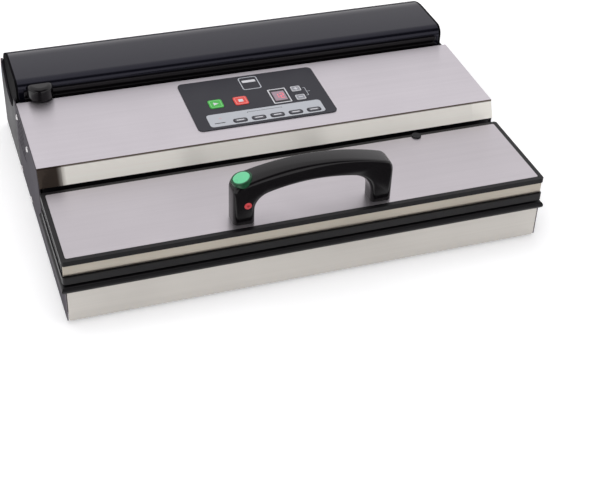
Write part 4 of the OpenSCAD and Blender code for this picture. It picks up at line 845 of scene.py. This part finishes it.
def digit(number, dx, w=4.6, h=9.6, t=1.1, g=0.25):
    """The lit segments of a seven-segment digit, t thick, with a gap g at their ends."""
    lit_parts = {1: "bc", 2: "abged"}[number]
    x, y = w / 2, h / 2
    segments = {
        "a": bar(-x + g, y - t, x - g, y), "g": bar(-x + g, -t / 2, x - g, t / 2),
        "d": bar(-x + g, -y, x - g, -y + t), "b": bar(x - t, t / 2 + g, x, y - t - g),
        "c": bar(x - t, -y + t + g, x, -t / 2 - g), "e": bar(-x, -y + t + g, -x + t, -t / 2 - g)}
    return [[(px + dx, py) for px, py in segments[s]] for s in lit_parts]


SYMBOLS = {"start": ([[(-2.4, -2.9), (3.2, 0), (-2.4, 2.9)]], ON_KEY),
           "stop": ([bar(-2.6, -2.6, 2.6, 2.6)], ON_KEY),
           "plus": ([bar(-2.4, -0.6, 2.4, 0.6), bar(-0.6, 0.6, 0.6, 2.4), bar(-0.6, -2.4, 0.6, -0.6)],
                    ON_KEY + INK),
           "minus": ([bar(-2.4, -0.6, 2.4, 0.6)], ON_KEY + INK)}
for key, (shapes, up) in SYMBOLS.items():
    printed("symbol_" + key, shapes, print_white, KEYS[key][0], up, body_of["key_" + key])
printed("display_digits", digit(1, -3.2) + digit(2, 2.8), segment_red, DISPLAY, IN_WINDOW + 0.01 + INK,
        "base")
printed("print_bracket", [bar(53.6, 73.2, 56.4, 73.8), bar(53.6, 58.3, 56.4, 58.9),
                          bar(55.8, 58.9, 56.4, 73.2), bar(56.4, 65.7, 60, 66.3)],
        print_silver, (0, 0), ON_FILM, "base")
printed("print_strip_line", [bar(-18, 41.6, -17.5, 43.2), bar(-17.5, 42.7, 20, 43.2),
                             bar(20, 41.6, 20.5, 43.2)], print_dark, (0, 0), ON_INK, "base")
print("symbols and digits done")

# %% [markdown]
# ## Screws
# The side sheets and the pan under the machine are held by pan-head screws with a cross recess. They
# are all alike, so one Geometry Nodes tree makes a screw and puts it on points, turned to each
# point's axis. Its head is a flattened sphere, cut off flat underneath and with the cross taken out
# of it; its shank is a plain cylinder, as its thread is out of sight. The points come from the
# ready-made screws: each of these is one island of its mesh.

# %% A tree for pan-head screws
screw_tree = group("pan_head_screw", {"Head Radius": "Float", "Head Height": "Float",
                                      "Recess Width": "Float", "Recess Depth": "Float",
                                      "Shank Radius": "Float", "Shank Length": "Float",
                                      "Finish": "Material"})
given = add(screw_tree, "NodeGroupInput").outputs
dome = add(screw_tree, "ShaderNodeCombineXYZ", {0: given["Head Radius"],
                                                1: given["Head Radius"],
                                                2: given["Head Height"]})
ball = add(screw_tree, "GeometryNodeMeshUVSphere", {"Segments": 24, "Rings": 12, "Radius": 1.0})
head = add(screw_tree, "GeometryNodeTransform", {"Geometry": ball, "Scale": dome})
# What is cut away: all under the head, and the two bars of the cross, each a box at its height
wide, long, deep, below = (
    add(screw_tree, "ShaderNodeMath", {0: given[of], 1: times}, operation="MULTIPLY").outputs[0]
    for of, times in (("Head Radius", 4), ("Head Radius", 1.1), ("Recess Depth", 2),
                      ("Head Radius", -2)))
slot, top = given["Recess Width"], given["Head Height"]
cutters = []
for x, y, z, height in ((wide, wide, wide, below), (slot, long, deep, top), (long, slot, deep, top)):
    size = add(screw_tree, "ShaderNodeCombineXYZ", {0: x, 1: y, 2: z})
    at = add(screw_tree, "ShaderNodeCombineXYZ", {2: height})
    box = add(screw_tree, "GeometryNodeMeshCube", {"Size": size})
    cutters.append(add(screw_tree, "GeometryNodeTransform", {"Geometry": box, "Translation": at}))
cut = add(screw_tree, "GeometryNodeMeshBoolean", {"Mesh 1": head}, operation="DIFFERENCE",
          solver="EXACT")
for cutter in cutters:
    screw_tree.links.new(cutter.outputs[0], cut.inputs["Mesh 2"])
rod = add(screw_tree, "GeometryNodeMeshCylinder", {
    "Vertices": 16, "Radius": given["Shank Radius"], "Depth": given["Shank Length"]})
sunk = add(screw_tree, "ShaderNodeMath", {0: given["Shank Length"], 1: -0.499},
           operation="MULTIPLY")
rod_at = add(screw_tree, "ShaderNodeCombineXYZ", {2: sunk})
shank = add(screw_tree, "GeometryNodeTransform", {"Geometry": rod, "Translation": rod_at})
screw = add(screw_tree, "GeometryNodeJoinGeometry")
screw_tree.links.new(shank.outputs[0], screw.inputs[0])
screw_tree.links.new(cut.outputs[0], screw.inputs[0])
axis = add(screw_tree, "GeometryNodeInputNamedAttribute", {"Name": "axis"}, data_type="FLOAT_VECTOR")
turn = add(screw_tree, "FunctionNodeAlignRotationToVector", {"Vector": axis}, axis="Z")
placed = add(screw_tree, "GeometryNodeInstanceOnPoints", {"Points": given["Geometry"],
             "Instance": screw, "Rotation": turn})
real = add(screw_tree, "GeometryNodeRealizeInstances", {0: placed})
dress = add(screw_tree, "GeometryNodeSetMaterial", {"Geometry": real, "Material": given["Finish"]})
add(screw_tree, "NodeGroupOutput", {"Geometry": dress})
print("screw tree:", len(screw_tree.nodes), "nodes")


# %% Where the screws are
def islands(name):
    """The lowest and highest corners of each separate piece of a solid's mesh."""
    cage = bmesh.new()
    cage.from_mesh(nodes[name].data)
    bmesh.ops.remove_doubles(cage, verts=cage.verts, dist=0.002 * MM)
    left, found = dict.fromkeys(cage.verts), []
    while left:
        queue, island = [left.popitem()[0]], []
        while queue:
            vert = queue.pop()
            island.append(vert.co.copy())
            near = [edge.other_vert(vert) for edge in vert.link_edges]
            queue += [other for other in near if left.pop(other, "gone") is None]
        found.append(([min(c[i] for c in island) for i in range(3)],
                      [max(c[i] for c in island) for i in range(3)]))
    cage.free()
    return found


HEAD_R, HEAD_H, SHANK_R = 3.3, 1.6, 1.9
SLOT_W, SLOT_DEEP = 0.8, 0.9


def screws(name, way):
    """Puts screws in place of a solid's; way gives each one's axis from its two corners."""
    spots, axes, longest = [], [], 0
    for low, high in islands(name):
        axis = way(low, high)
        along = max(range(3), key=lambda i: abs(axis[i]))
        middle = [(a + b) / 2 for a, b in zip(low, high)]
        middle[along] = (high if axis[along] > 0 else low)[along] - axis[along] * HEAD_H * MM
        spots.append(middle)
        axes.append(axis)
        longest = max(longest, high[along] - low[along])
    seeds = bpy.data.meshes.new(name + "_pan_head")
    seeds.from_pydata(spots, [], [])
    turns = seeds.attributes.new("axis", "FLOAT_VECTOR", "POINT")
    for item, axis in zip(turns.data, axes):
        item.vector = axis
    settings = {"Head Radius": HEAD_R * MM, "Head Height": HEAD_H * MM, "Recess Width": SLOT_W * MM,
                "Recess Depth": SLOT_DEEP * MM, "Shank Radius": SHANK_R * MM,
                "Shank Length": longest - HEAD_H * MM, "Finish": nickel}
    piece = from_tree(name + "_pan_head", seeds, screw_tree, settings)
    piece.data.set_sharp_from_angle(angle=math.radians(35))
    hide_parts(name)
    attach(piece, body_of[name])
    print(name, len(spots), "screws", len(piece.data.polygons), "faces")


screws("side_screws", lambda low, high: (math.copysign(1, low[0] + high[0]), 0, 0))
screws("bottom_screws", lambda low, high: (0, 0, -1))
